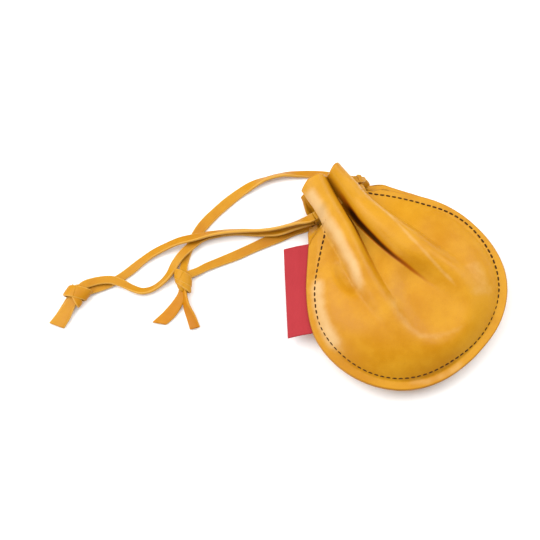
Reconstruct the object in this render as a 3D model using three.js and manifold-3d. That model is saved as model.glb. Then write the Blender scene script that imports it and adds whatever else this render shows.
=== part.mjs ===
// A leather drawstring pouch lying on its back, in millimetres, +Z up.
// The origin is on the floor under the middle of the round body, and +Y points to the neck.
import * as THREE from 'three';
import Module from 'manifold-3d';

const wasm = await Module();
wasm.setup();

// Driving sizes
const BODY_RADIUS = 60;
const SHOULDER_ANGLE = THREE.MathUtils.degToRad(36.9);
const LEATHER = 1.6;
const SEAM_HEIGHT = 13;
const SEAM_GAP = 0.3;
const FLANGE_WIDTH = 5.2;
const FRONT_RISE = 14;
const FRONT_SEAM_TOP = 59.3;
const TAB_LENGTH = 6;
const CORNER_RADIUS = 7;
const NECK_WIDTH = 35;
const MOUTH_REACH = 85;
const FOLD_HEIGHT = 12;
const BACK_FOLD_DEPTH = 4;
const FLAP_WIDTH = 37;
const FLAP_SHIFT = -3.5;
const NOTCH_DEPTH = 3.5;
const NOTCH_RAMP = 3;
const MOUTH_FLARE = 0.8;
const POLE_REACH = 18;

// Drawstrings: flat thongs threaded through the neck, with free strands and an end knot
const LACE_WIDTH = 5;
const LACE_THICKNESS = 2;
const SLIT_CLEARANCE = 0.35;
const FIRST_LACE_REACH = 67.8;
const LACE_PITCH = 6;
const FRONT_LACE_HEIGHT = 17;
const BACK_LACE_HEIGHT = 8;
const LEFT_EXIT_REACH = 1.8;
const LEFT_BEND_INSET = 2;
const RIGHT_EXIT_REACH = 2.8;
const RIGHT_BEND_REACH = 3;
const KNOT_HEIGHT = 8;
const TAIL_WIDTH = 7;
const WRAP_THICKNESS = 2.6;
const WRAP_LEAN = THREE.MathUtils.degToRad(25);
const HEART_SHARE = 0.86;

// Woven label sewn into the left side seam
const LABEL_LENGTH = 54;
const LABEL_SHOWING = 13.3;
const LABEL_INSERT = 4.2;
const LABEL_THICKNESS = 0.8;
const LABEL_FLAT = 6.5;
const LABEL_DROOP = THREE.MathUtils.degToRad(14);
const LABEL_TOP_REACH = 56.9;

// How sharply the wall climbs from the seam, the folds arch and the dents sink
const CLIMB_POWER = 3;
const ARCH_POWER = 2.4;
const DENT_POWER = 4;

// Mesh fineness: rows round the body, columns of half a row between its stops, spacing of the
// neck's rows
const FRONT_MESH = { arcRows: 16, counts: [2, 4, 8, 2], spacing: 3 };
const BACK_MESH = { arcRows: 12, counts: [2, 9], spacing: 3 };
const SAMPLE_STEPS = 150;
const ROUNDING_PASSES = 10;
const CORNER_ROWS = [0.3, 0.58, 0.82, 0.96, 1];
const NEAREST_FOOT = 0.3;
const FLANGE_SHARE = 0.4;
const CORNER_CUT = 0.3;
const TAIL_STEPS = 4;
const BEND_SEGMENTS = 8;
const LABEL_STEP = 0.1;

// A table's rows with its columns named.
function table(columns, rows) {
  return rows.map((row) => Object.fromEntries(columns.map((name, place) => [name, row[place]])));
}

// Sections of the front panel, from the mouth down. at is a share of MOUTH_REACH (negative ones of
// BODY_RADIUS), left and right edges of the two folds are shares of BODY_RADIUS, floor is the height
// of the valley between them as a share of FRONT_RISE, and rise_1 and rise_2 are shares of
// FOLD_HEIGHT. soft is 0.5 for a tubular fold and 2 for one that fades out, and fade is the same for
// the right flank of the second fold. spread is the width over which the wall climbs from the seam,
// a share of BODY_RADIUS.
const FRONT_SECTIONS = table(
  ['at', 'left_1', 'right_1', 'left_2', 'right_2', 'floor', 'rise_1', 'rise_2', 'soft', 'fade', 'spread'],
  [
    [1.00, -0.300, -0.036, 0.006, 0.155, 0.16, 0.86, 0.90, 0.50, 0.50, 0.30],
    [0.85, -0.296, -0.044, 0.000, 0.200, 0.10, 0.98, 1.04, 0.50, 0.50, 0.30],
    [0.71, -0.298, -0.048, -0.004, 0.230, 0.10, 1.08, 1.10, 0.50, 0.60, 0.30],
    [0.59, -0.320, -0.058, -0.004, 0.380, 0.24, 1.00, 1.04, 0.58, 1.10, 0.32],
    [0.47, -0.346, -0.086, 0.018, 0.560, 0.40, 0.84, 0.90, 0.68, 1.50, 0.36],
    [0.35, -0.372, -0.118, 0.046, 0.660, 0.55, 0.66, 0.72, 0.80, 1.60, 0.42],
    [0.235, -0.398, -0.142, 0.084, 0.700, 0.68, 0.50, 0.56, 0.95, 1.70, 0.50],
    [0.12, -0.410, -0.158, 0.142, 0.720, 0.80, 0.34, 0.42, 1.20, 1.80, 0.58],
    [0.00, -0.415, -0.166, 0.208, 0.720, 0.92, 0.20, 0.26, 1.50, 1.90, 0.64],
    [-0.17, -0.415, -0.166, 0.250, 0.720, 1.00, 0.10, 0.12, 1.80, 2.00, 0.66],
    [-0.45, -0.415, -0.166, 0.250, 0.720, 1.00, 0.00, 0.00, 2.00, 2.00, 0.66],
  ],
);

// Dents of the front: place and reach along X and Y as shares of BODY_RADIUS, rise of FRONT_RISE.
const FRONT_DENTS = table(
  ['x', 'y', 'reach_x', 'reach_y', 'rise'],
  [
    [0.125, -0.25, 0.30, 0.41, -0.30],
    [0.66, 0.20, 0.22, 0.30, -0.10],
    [-0.44, 0.42, 0.07, 0.16, -0.10],
  ],
);

// Sections of the back panel: depth is the belly's share of the way down to the floor, and fold is
// the depth of its neck folds as a share of BACK_FOLD_DEPTH.
const BACK_SECTIONS = table(
  ['at', 'depth', 'fold', 'spread'],
  [
    [1.00, 0.12, 0.80, 0.20],
    [0.86, 0.16, 1.00, 0.20],
    [0.72, 0.30, 0.90, 0.30],
    [0.60, 0.60, 0.45, 0.38],
    [0.45, 0.88, 0.15, 0.48],
    [0.30, 1.00, 0.00, 0.54],
    [-1.00, 1.00, 0.00, 0.54],
  ],
);

// Neck folds of the back: centre and half width as shares of half the flap's width.
const BACK_FOLDS = table(['centre', 'half'], [[-0.62, 0.27], [0, 0.27], [0.62, 0.27]]);
const BACK_FOLD_SOFT = 0.6;

// Free strands, each point as x, y, z and the turn of the thong about its own run, in degrees:
// 0 lies flat, 90 stands on edge. The last point of a strand meets its knot.
const LACE_1_UPPER = [
  [-20.0, 67.8, 17.0, 0], [-23.6, 68.3, 16.6, 15], [-29.5, 70.6, 14.2, 60], [-35.5, 73.0, 11.4, 75],
  [-42.0, 75.6, 9.2, 80], [-49.5, 79.4, 7.6, 80], [-58.0, 84.6, 6.6, 75], [-66.8, 89.8, 6.0, 65],
  [-76.4, 94.4, 6.2, 50], [-86.2, 97.9, 6.6, 35], [-95.9, 101.5, 5.8, 20], [-104.8, 103.4, 4.2, 20],
  [-113.8, 103.9, 2.8, 20], [-121.5, 103.6, 2.2, 10], [-129.2, 102.8, 1.6, 0], [-137.0, 102.3, 1.3, 0],
  [-145.0, 101.9, 1.4, 0], [-152.2, 102.4, 1.9, 0], [-159.1, 103.8, 3.1, 0],
];
const LACE_1_LOWER = [
  [-19.9, 67.8, 8.0, 0], [-26.0, 68.5, 7.6, 30], [-33.6, 70.0, 6.4, 60], [-43.4, 73.2, 4.9, 80],
  [-52.8, 78.0, 4.0, 80], [-62.8, 84.2, 3.6, 70], [-73.6, 89.9, 3.9, 45], [-83.6, 93.6, 4.3, 15],
  [-91.6, 94.8, 4.2, 5], [-98.0, 94.0, 4.3, 5], [-104.6, 91.4, 3.9, 12], [-111.2, 87.8, 3.0, 40],
  [-117.8, 85.8, 2.8, 45], [-125.1, 85.5, 2.7, 40], [-131.0, 87.7, 2.9, 30], [-135.0, 92.4, 3.1, 15],
  [-138.5, 98.0, 3.6, 0], [-142.8, 103.4, 4.0, 0], [-147.8, 107.6, 3.6, 0], [-153.2, 109.4, 3.2, 0],
  [-159.4, 109.9, 3.9, 0],
];
const LACE_2_LOWER = [
  [15.4, 73.8, 8.0, 0], [17.7, 73.3, 7.4, 0], [18.9, 70.6, 5.0, 0], [16.4, 67.4, 2.3, 0],
  [10.0, 65.6, 1.3, 0], [2.0, 64.6, 1.2, 0], [-8.0, 64.1, 1.2, 0], [-18.3, 64.4, 1.2, 0],
  [-25.5, 66.2, 1.2, 0], [-34.0, 68.6, 1.2, 0], [-42.6, 70.9, 1.2, 0], [-50.6, 73.0, 1.2, 0],
  [-59.4, 74.5, 1.2, 0], [-71.0, 76.0, 1.2, 0], [-82.0, 77.9, 1.3, 0], [-90.0, 79.4, 1.8, 0],
  [-95.8, 80.2, 2.4, 0], [-100.6, 80.8, 3.3, 0],
];
const LACE_2_UPPER = [
  [15.5, 73.8, 17.0, 0], [18.7, 74.4, 15.6, 0], [20.0, 76.4, 11.0, 0], [18.6, 78.8, 6.0, 0],
  [13.6, 82.2, 2.2, 0], [8.0, 86.2, 1.3, 0], [3.8, 90.3, 1.2, 0], [-3.4, 95.2, 1.2, 0],
  [-10.3, 99.2, 1.2, 0], [-19.2, 104.4, 1.3, 0], [-29.0, 107.8, 1.3, 0], [-38.0, 109.2, 1.2, 0],
  [-50.6, 108.4, 1.2, 0], [-64.3, 106.6, 1.2, 0], [-73.8, 104.4, 1.2, 0], [-80.8, 102.2, 1.2, 0],
  [-86.6, 99.2, 1.2, 0], [-91.6, 96.0, 1.2, 0], [-95.6, 92.8, 1.2, 0], [-98.8, 90.0, 1.3, 0],
  [-102.0, 86.4, 2.8, 0],
];
const STRAND_STEPS = { lace_1_upper: 20, lace_1_lower: 22, lace_2_lower: 18, lace_2_upper: 20 };

// Knots: the middle of each, the way its cord runs through it, its size along and across that, and
// the routes of its two cut tails.
const KNOT_1 = {
  centre: [-165.4, 106.2, 4.4],
  heading: 189,
  length: 12,
  width: 14,
  tails: [
    [[-168.6, 105.6, 5.0, 10], [-173.4, 103.8, 4.2, 10], [-178.4, 101.4, 2.6, 5], [-184.2, 98.6, 1.4, 0]],
    [[-168.4, 108.4, 2.4, 0], [-173.0, 107.6, 1.6, 0], [-178.6, 105.6, 1.3, 0]],
  ],
};
const KNOT_2 = {
  centre: [-106.6, 79.4, 4.4],
  heading: 238,
  length: 15,
  width: 11,
  tails: [
    [[-109.6, 75.4, 3.6, 0], [-116.0, 73.4, 2.4, 0], [-124.4, 70.4, 1.5, 0], [-132.4, 67.0, 1.3, 0]],
    [[-108.4, 76.0, 3.8, 40], [-109.4, 69.4, 3.8, 60], [-110.2, 61.6, 3.4, 45], [-113.6, 52.4, 1.8, 10]],
  ],
};

// Colours
const LEATHER_FINISH = { color: 0xdd9a1c, roughness: 0.5, metalness: 0 };
const LABEL_FINISH = { color: 0xb23a40, roughness: 0.9, metalness: 0 };

const SHOULDER_NORMAL = [Math.cos(SHOULDER_ANGLE), Math.sin(SHOULDER_ANGLE)];

function lerp(a, b, t) {
  return a + (b - a) * t;
}

function smoothstep(low, high, value) {
  const t = THREE.MathUtils.clamp((value - low) / (high - low), 0, 1);
  return t * t * (3 - 2 * t);
}

// The place of a section along Y.
function sectionReach(section) {
  return section.at < 0 ? section.at * BODY_RADIUS : section.at * MOUTH_REACH;
}

// One column of a section table at reach y, eased between the rows.
function sectionValue(sections, column, y) {
  if (y >= sectionReach(sections[0])) return sections[0][column];
  for (let row = 1; row < sections.length; row++) {
    const low = sectionReach(sections[row]);
    if (y >= low) {
      const high = sectionReach(sections[row - 1]);
      return lerp(sections[row][column], sections[row - 1][column], (y - low) / (high - low));
    }
  }
  return sections[sections.length - 1][column];
}

// How far a point lies inside the sewn outline: a circle with two tangents up to the neck.
function inset(x, y) {
  const radius = Math.hypot(x, y);
  const aboveShoulder = y > radius * Math.sin(SHOULDER_ANGLE);
  const support = aboveShoulder ? Math.abs(x) * SHOULDER_NORMAL[0] + y * SHOULDER_NORMAL[1] : radius;
  return BODY_RADIUS - support;
}

// Half the outline's width at reach y, above the shoulders.
function tangentHalfWidth(y) {
  return (BODY_RADIUS - y * SHOULDER_NORMAL[1]) / SHOULDER_NORMAL[0];
}

// The wall's climb from the seam, as a share: flat on the flange, steep inside it, level on top.
function climb(x, y, spread) {
  const share = THREE.MathUtils.clamp((inset(x, y) - FLANGE_WIDTH) / (spread * BODY_RADIUS), 0, 1);
  return 1 - (1 - share) ** CLIMB_POWER;
}

// A fold's cross-section: 1 on its crest and 0 at its edges, tubular or soft.
function arch(t, soft) {
  return Math.abs(t) >= 1 ? 0 : (1 - Math.abs(t) ** ARCH_POWER) ** soft;
}

// Height of the middle of the front panel's leather.
function frontHeight(x, y) {
  const value = (column) => sectionValue(FRONT_SECTIONS, column, y);
  const flangeLevel = SEAM_HEIGHT + SEAM_GAP / 2 + LEATHER / 2;
  const edges = ['left_1', 'right_1', 'left_2', 'right_2'].map((name) => value(name) * BODY_RADIUS);
  const valley = (edges[1] + edges[2]) / 2;
  const free = smoothstep(FRONT_SEAM_TOP - CORNER_RADIUS / 2, FIRST_LACE_REACH, y);
  const foot = FRONT_LACE_HEIGHT + LACE_THICKNESS / 2 + LEATHER - flangeLevel;
  const away = Math.min(1, Math.abs(x - valley) / (NECK_WIDTH / 2));
  const floor = value('floor') * FRONT_RISE;
  const sewn = climb(x, y, value('spread'));
  let height = flangeLevel + lerp(floor * sewn, lerp(floor, foot, away), free);
  const folds = [
    [edges[0], edges[1], value('rise_1'), value('soft')],
    [edges[2], edges[3], value('rise_2'), value('fade')],
  ];
  for (const [left, right, rise, rightSoft] of folds) {
    const t = (2 * x - left - right) / (right - left);
    const soft = t > 0 ? rightSoft : value('soft');
    height += rise * (FOLD_HEIGHT - free * away * foot / 2) * arch(t, soft);
  }
  for (const dent of FRONT_DENTS) {
    const apartX = (x / BODY_RADIUS - dent.x) / dent.reach_x;
    const apartY = (y / BODY_RADIUS - dent.y) / dent.reach_y;
    height += dent.rise * FRONT_RISE * Math.exp(-(Math.hypot(apartX, apartY) ** DENT_POWER)) * sewn;
  }
  return height;
}

// Height of the middle of the back panel's leather: bellied down to a flat rest on the floor.
function backHeight(x, y) {
  const value = (column) => sectionValue(BACK_SECTIONS, column, y);
  const flangeLevel = SEAM_HEIGHT - SEAM_GAP / 2 - LEATHER / 2;
  const drop = flangeLevel - LEATHER / 2;
  const free = smoothstep(FRONT_SEAM_TOP, FIRST_LACE_REACH, y);
  let depth = value('depth') * drop * lerp(climb(x, y, value('spread')), 1, free);
  for (const fold of BACK_FOLDS) {
    const centre = FLAP_SHIFT + fold.centre * FLAP_WIDTH / 2;
    const t = (x - centre) / (fold.half * FLAP_WIDTH / 2);
    depth += value('fold') * BACK_FOLD_DEPTH * arch(t, BACK_FOLD_SOFT);
  }
  return flangeLevel - Math.min(depth, drop);
}

// The rounded end of a sewn edge: half width at reach y, from the tangent in to the neck.
function roundedHalfWidth(y, top, inner) {
  const below = top - y;
  if (below >= CORNER_RADIUS) return tangentHalfWidth(y);
  const outer = tangentHalfWidth(y);
  const bow = Math.sqrt(Math.max(0, 1 - (1 - below / CORNER_RADIUS) ** 2));
  return lerp(inner, outer, bow);
}

// Left and right edges of the front panel at reach y, above the shoulders.
function frontEdges(y) {
  const left = sectionValue(FRONT_SECTIONS, 'left_1', y) * BODY_RADIUS;
  const right = sectionValue(FRONT_SECTIONS, 'right_2', y) * BODY_RADIUS;
  if (y >= FRONT_SEAM_TOP) return [left, right];
  return [-roundedHalfWidth(y, FRONT_SEAM_TOP, -left), roundedHalfWidth(y, FRONT_SEAM_TOP, right)];
}

// Left and right edges of the back panel: the tabs, the notches that the laces leave by, the flap.
function backEdges(y) {
  const tabTop = FRONT_SEAM_TOP + TAB_LENGTH;
  const flap = FLAP_WIDTH / 2;
  const notch = flap - NOTCH_DEPTH;
  const notchTop = FIRST_LACE_REACH + LACE_WIDTH / 2;
  if (y < tabTop) {
    const left = -roundedHalfWidth(y, tabTop, notch - FLAP_SHIFT);
    return [left, roundedHalfWidth(y, tabTop, notch + FLAP_SHIFT)];
  }
  const flare = lerp(1, MOUTH_FLARE, smoothstep(notchTop, MOUTH_REACH, y));
  const half = lerp(notch, flap * flare, smoothstep(notchTop, notchTop + NOTCH_RAMP, y));
  return [FLAP_SHIFT - half, FLAP_SHIFT + Math.min(half, notch)];
}

// Points of one half row, from the panel's edge in to its middle line. Each stop is a share of the
// way in, and the columns counted for it are spread evenly over the leather up to that stop.
function halfRow(edge, middle, height, stops, counts) {
  const fine = [];
  for (let step = 0; step <= SAMPLE_STEPS; step++) {
    const x = lerp(edge[0], middle[0], step / SAMPLE_STEPS);
    const y = lerp(edge[1], middle[1], step / SAMPLE_STEPS);
    fine.push(new THREE.Vector3(x, y, height(x, y)));
  }
  for (let pass = 0; pass < ROUNDING_PASSES; pass++) {
    for (let step = 1; step < SAMPLE_STEPS; step++) {
      fine[step].z = (fine[step - 1].z + 2 * fine[step].z + fine[step + 1].z) / 4;
    }
  }
  const lengths = [0];
  for (let step = 1; step <= SAMPLE_STEPS; step++) {
    lengths.push(lengths[step - 1] + fine[step].distanceTo(fine[step - 1]));
  }
  const points = [fine[0].clone()];
  let from = 0;
  counts.forEach((count, stretch) => {
    const place = stops[stretch] * SAMPLE_STEPS;
    const low = Math.min(Math.floor(place), SAMPLE_STEPS - 1);
    const to = lerp(lengths[low], lengths[low + 1], place - low);
    for (let column = 1; column <= count; column++) {
      const along = lerp(from, to, column / count);
      let step = 1;
      while (step < SAMPLE_STEPS && lengths[step] < along) step++;
      const share = (along - lengths[step - 1]) / (lengths[step] - lengths[step - 1]);
      points.push(fine[step - 1].clone().lerp(fine[step], share));
    }
    from = to;
  });
  return points;
}

// Stops of a half row of the front at reach y: the flange, then both feet of that side's fold.
function frontStops(side, y, edgeX, middleX, flange) {
  const names = side < 0 ? ['left_1', 'right_1'] : ['right_2', 'left_2'];
  const [outer, inner] = names.map((name) => {
    const foot = sectionValue(FRONT_SECTIONS, name, y) * BODY_RADIUS;
    return (foot - edgeX) / (middleX - edgeX);
  });
  const nearest = Math.max(outer, NEAREST_FOOT);
  return [Math.min(flange, FLANGE_SHARE * nearest), nearest, inner, 1];
}

// Reaches of the rows above the shoulders: even steps, with the rounded corner's rows closer.
function upperReaches(cornerTop, spacing) {
  const start = BODY_RADIUS * SHOULDER_NORMAL[1];
  const cornerStart = cornerTop - CORNER_RADIUS;
  const lineRows = Math.max(2, Math.round((cornerStart - start) / spacing));
  const neckRows = Math.max(3, Math.round((MOUTH_REACH - cornerTop) / spacing));
  const reaches = [];
  for (let row = 1; row <= lineRows; row++) reaches.push(lerp(start, cornerStart, row / lineRows));
  for (const share of CORNER_ROWS) reaches.push(lerp(cornerStart, cornerTop, share));
  for (let row = 1; row <= neckRows; row++) reaches.push(lerp(cornerTop, MOUTH_REACH, row / neckRows));
  return reaches;
}

// The middle surface of a panel: a fan round the pole for the round body, then level rows. The two
// halves of the fan share one line at the bottom, so their stops ease together towards it.
function panelRows(height, edges, cornerTop, middleLine, stopsAt, { arcRows, counts, spacing }) {
  const rows = [];
  const sweep = Math.PI / 2 + SHOULDER_ANGLE;
  const pole = -POLE_REACH;
  const poleAngle = Math.acos(POLE_REACH / BODY_RADIUS);
  for (let row = 0; row <= arcRows; row++) {
    const angle = sweep * row / arcRows;
    const x = BODY_RADIUS * Math.sin(angle);
    const y = -BODY_RADIUS * Math.cos(angle);
    const middle = [middleLine(Math.max(y, pole)), Math.max(y, pole)];
    const normal = [-Math.sin(angle), Math.cos(angle)];
    const own = Math.min(1, angle / poleAngle);
    rows.push([-1, 1].map((side) => {
      const edge = [side * x, y];
      const run = [middle[0] - edge[0], middle[1] - edge[1]];
      const facing = side * normal[0] * run[0] + normal[1] * run[1];
      const wide = BODY_RADIUS * Math.sin(Math.max(angle, poleAngle));
      const [stops, mirrored] = [side, -side].map((half) => {
        return stopsAt(half, middle[1], half * wide, middle[0], FLANGE_WIDTH / facing);
      });
      const eased = stops.map((stop, place) => lerp((stop + mirrored[place]) / 2, stop, own));
      return halfRow(edge, middle, height, eased, counts);
    }));
  }
  for (const y of upperReaches(cornerTop, spacing)) {
    const middle = [middleLine(y), y];
    const cornerShare = smoothstep(cornerTop - CORNER_RADIUS, cornerTop, y);
    const flange = lerp(FLANGE_WIDTH / SHOULDER_NORMAL[0], LEATHER, cornerShare);
    rows.push(edges(y).map((x, which) => {
      const side = which === 0 ? -1 : 1;
      const stops = stopsAt(side, y, x, middle[0], flange / Math.abs(middle[0] - x));
      return halfRow([x, y], middle, height, stops, counts);
    }));
  }
  return rows;
}

// Welds a soup of triangles, leaving out those that have no area.
function weld(triangles) {
  const places = new Map();
  const positions = [];
  const indices = [];
  const indexOf = (point) => {
    const key = point.toArray().map((value) => Math.round(value * 1e4)).join(' ');
    if (!places.has(key)) {
      places.set(key, positions.length / 3);
      positions.push(point.x, point.y, point.z);
    }
    return places.get(key);
  };
  for (const triangle of triangles) {
    const [a, b, c] = triangle.map(indexOf);
    if (a !== b && b !== c && c !== a) indices.push(a, b, c);
  }
  const geometry = new THREE.BufferGeometry();
  geometry.setAttribute('position', new THREE.Float32BufferAttribute(positions, 3));
  geometry.setIndex(indices);
  return geometry;
}

// The open middle surface through the rows, facing up.
function middleSurface(rows) {
  const triangles = [];
  for (let row = 1; row < rows.length; row++) {
    for (const side of [0, 1]) {
      const low = rows[row - 1][side];
      const high = rows[row][side];
      for (let column = 1; column < low.length; column++) {
        const quad = [low[column - 1], low[column], high[column], high[column - 1]];
        if (side === 1) quad.reverse();
        triangles.push([quad[0], quad[1], quad[2]], [quad[0], quad[2], quad[3]]);
      }
    }
  }
  return weld(triangles);
}

// Gives an open surface its leather thickness, half to each side, and closes its rim.
function thicken(surface, thickness) {
  surface.computeVertexNormals();
  const place = surface.getAttribute('position');
  const normal = surface.getAttribute('normal');
  const index = surface.getIndex().array;
  const count = place.count;
  const positions = [];
  for (const half of [thickness / 2, -thickness / 2]) {
    for (let vertex = 0; vertex < count; vertex++) {
      positions.push(place.getX(vertex) + normal.getX(vertex) * half);
      positions.push(place.getY(vertex) + normal.getY(vertex) * half);
      positions.push(place.getZ(vertex) + normal.getZ(vertex) * half);
    }
  }
  const indices = [];
  const edges = new Map();
  for (let corner = 0; corner < index.length; corner += 3) {
    const [a, b, c] = [index[corner], index[corner + 1], index[corner + 2]];
    indices.push(a, b, c, c + count, b + count, a + count);
    for (const [from, to] of [[a, b], [b, c], [c, a]]) {
      const back = `${to} ${from}`;
      if (edges.has(back)) edges.delete(back);
      else edges.set(`${from} ${to}`, [from, to]);
    }
  }
  for (const [from, to] of edges.values()) {
    indices.push(to, from, from + count, to, from + count, to + count);
  }
  const geometry = new THREE.BufferGeometry();
  geometry.setAttribute('position', new THREE.Float32BufferAttribute(positions, 3));
  geometry.setIndex(indices);
  return geometry;
}

// A curve whose frames keep a thong turned as its points say.
class ThongPath extends THREE.CatmullRomCurve3 {
  constructor(points) {
    super(points.map(([x, y, z]) => new THREE.Vector3(x, y, z)), false, 'centripetal');
    this.turns = points.map((point) => THREE.MathUtils.degToRad(point[3]));
  }

  turnAt(share) {
    const place = this.getUtoTmapping(share) * (this.turns.length - 1);
    const low = Math.min(Math.floor(place), this.turns.length - 2);
    return lerp(this.turns[low], this.turns[low + 1], place - low);
  }

  computeFrenetFrames(segments) {
    const frames = { tangents: [], normals: [], binormals: [] };
    for (let step = 0; step <= segments; step++) {
      const tangent = this.getTangentAt(step / segments);
      const level = new THREE.Vector3(-tangent.y, tangent.x, 0).normalize();
      const wide = level.applyAxisAngle(tangent, this.turnAt(step / segments));
      frames.tangents.push(tangent);
      frames.normals.push(wide);
      frames.binormals.push(new THREE.Vector3().crossVectors(tangent, wide));
    }
    return frames;
  }
}

// A flat thong along its points, with the corners of its section taken off.
function thong(points, steps, width = LACE_WIDTH) {
  const cut = LACE_THICKNESS * CORNER_CUT;
  const [x, y] = [width / 2, LACE_THICKNESS / 2];
  const corners = [
    [x - cut, -y], [x, -y + cut], [x, y - cut], [x - cut, y],
    [-x + cut, y], [-x, y - cut], [-x, -y + cut], [-x + cut, -y],
  ];
  const section = new THREE.Shape(corners.map(([a, b]) => new THREE.Vector2(a, b)));
  return new THREE.ExtrudeGeometry(section, { steps, extrudePath: new ThongPath(points) });
}

// A threaded stretch of lace: over through the front folds, round a bend and back through the back.
function neckLace(reach, exitX, bendX, extra) {
  const side = Math.sign(bendX - exitX);
  const radius = (FRONT_LACE_HEIGHT - BACK_LACE_HEIGHT) / 2;
  const middle = (FRONT_LACE_HEIGHT + BACK_LACE_HEIGHT) / 2;
  const centre = bendX - side * radius;
  const inner = radius - LACE_THICKNESS / 2 - extra;
  const outer = radius + LACE_THICKNESS / 2 + extra;
  const shape = new THREE.Shape();
  const end = exitX - side * extra;
  shape.moveTo(end, middle + inner);
  shape.lineTo(end, middle + outer);
  shape.lineTo(centre, middle + outer);
  shape.absarc(centre, middle, outer, Math.PI / 2, -Math.PI / 2, side > 0);
  shape.lineTo(end, middle - outer);
  shape.lineTo(end, middle - inner);
  shape.lineTo(centre, middle - inner);
  shape.absarc(centre, middle, inner, -Math.PI / 2, Math.PI / 2, side < 0);
  shape.closePath();
  const depth = LACE_WIDTH + 2 * extra;
  const options = { depth, bevelEnabled: false, curveSegments: BEND_SEGMENTS };
  const geometry = new THREE.ExtrudeGeometry(shape, options);
  geometry.rotateX(Math.PI / 2);
  geometry.translate(0, reach + depth / 2, 0);
  return geometry;
}

// A geometry as a welded solid.
function solid(geometry) {
  const plain = geometry.index ? geometry.toNonIndexed() : geometry;
  const place = plain.getAttribute('position');
  const triangles = [];
  for (let corner = 0; corner < place.count; corner += 3) {
    triangles.push([0, 1, 2].map((next) => new THREE.Vector3().fromBufferAttribute(place, corner + next)));
  }
  const welded = weld(triangles);
  const vertProperties = new Float32Array(welded.getAttribute('position').array);
  const triVerts = new Uint32Array(welded.getIndex().array);
  return new wasm.Manifold(new wasm.Mesh({ numProp: 3, vertProperties, triVerts }));
}

function geometryOf(body) {
  const mesh = body.getMesh();
  const geometry = new THREE.BufferGeometry();
  const positions = [];
  for (let vertex = 0; vertex < mesh.vertProperties.length; vertex += mesh.numProp) {
    positions.push(...mesh.vertProperties.slice(vertex, vertex + 3));
  }
  geometry.setAttribute('position', new THREE.Float32BufferAttribute(positions, 3));
  geometry.setIndex([...mesh.triVerts]);
  return geometry;
}

// Where the outline's left side is at reach y.
function leftOutline(y) {
  const shoulder = BODY_RADIUS * SHOULDER_NORMAL[1];
  const half = y > shoulder ? tangentHalfWidth(y) : Math.sqrt(BODY_RADIUS ** 2 - y ** 2);
  return new THREE.Vector2(-half, y);
}

// The label, grown by extra on every side: a strip that is level in the seam and droops outside it.
function labelGeometry(extra) {
  const top = leftOutline(LABEL_TOP_REACH);
  let reach = LABEL_TOP_REACH;
  while (top.distanceTo(leftOutline(reach)) < LABEL_LENGTH) reach -= LABEL_STEP;
  const bottom = leftOutline(reach);
  const along = bottom.clone().sub(top).normalize();
  const angle = Math.atan2(along.y, along.x);
  const half = LABEL_THICKNESS / 2 + extra;
  const out = LABEL_SHOWING - LABEL_FLAT + extra;
  const dropX = out * Math.cos(LABEL_DROOP);
  const dropZ = out * Math.sin(LABEL_DROOP);
  const shape = new THREE.Shape([
    new THREE.Vector2(-LABEL_INSERT - extra, -half),
    new THREE.Vector2(LABEL_FLAT, -half),
    new THREE.Vector2(LABEL_FLAT + dropX, -half - dropZ),
    new THREE.Vector2(LABEL_FLAT + dropX, half - dropZ),
    new THREE.Vector2(LABEL_FLAT, half),
    new THREE.Vector2(-LABEL_INSERT - extra, half),
  ]);
  const depth = LABEL_LENGTH + 2 * extra;
  const geometry = new THREE.ExtrudeGeometry(shape, { depth, bevelEnabled: false });
  const outward = new THREE.Vector3(Math.sin(angle), -Math.cos(angle), 0);
  const run = new THREE.Vector3(Math.cos(angle), Math.sin(angle), 0);
  const placing = new THREE.Matrix4().makeBasis(outward, new THREE.Vector3(0, 0, 1), run.negate());
  placing.setPosition(bottom.x, bottom.y, SEAM_HEIGHT);
  geometry.translate(0, 0, -extra);
  geometry.applyMatrix4(placing);
  return geometry;
}

// A knot: a rounded heart with a band wrapped round it, and two cut tails.
function knotSolid({ centre, heading, length, width, tails }) {
  const heart = new THREE.SphereGeometry(0.5, 10, 7);
  heart.scale(length, width * HEART_SHARE, KNOT_HEIGHT * HEART_SHARE);
  const [inner, outer] = [width / 2 - WRAP_THICKNESS, width / 2];
  const half = LACE_WIDTH / 2;
  const corners = [[inner, -half], [outer, -half], [outer, half], [inner, half], [inner, -half]];
  const band = new THREE.LatheGeometry(corners.map(([x, y]) => new THREE.Vector2(x, y)), 12);
  band.rotateZ(Math.PI / 2 + WRAP_LEAN);
  band.scale(1, 1, KNOT_HEIGHT / width);
  for (const piece of [heart, band]) {
    piece.rotateZ(THREE.MathUtils.degToRad(heading));
    piece.translate(...centre);
  }
  let knot = solid(heart).add(solid(band));
  for (const tail of tails) knot = knot.add(solid(thong(tail, TAIL_STEPS, TAIL_WIDTH)));
  return knot;
}

function named(name, geometry, finish) {
  const mesh = new THREE.Mesh(geometry, new THREE.MeshStandardMaterial(finish));
  mesh.name = name;
  return mesh;
}

const frontRightEdge = (y) => sectionValue(FRONT_SECTIONS, 'right_2', y) * BODY_RADIUS;
const secondLaceReach = FIRST_LACE_REACH + LACE_PITCH;
const leftExit = -NECK_WIDTH / 2 - LEFT_EXIT_REACH;
const leftBend = -NECK_WIDTH / 2 + LEFT_BEND_INSET;
const rightExit = frontRightEdge(secondLaceReach) + RIGHT_EXIT_REACH;
const rightBend = frontRightEdge(FIRST_LACE_REACH) + RIGHT_BEND_REACH;
const laceRuns = [
  ['lace_1_neck', FIRST_LACE_REACH, leftExit, rightBend],
  ['lace_2_neck', secondLaceReach, rightExit, leftBend],
];

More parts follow.
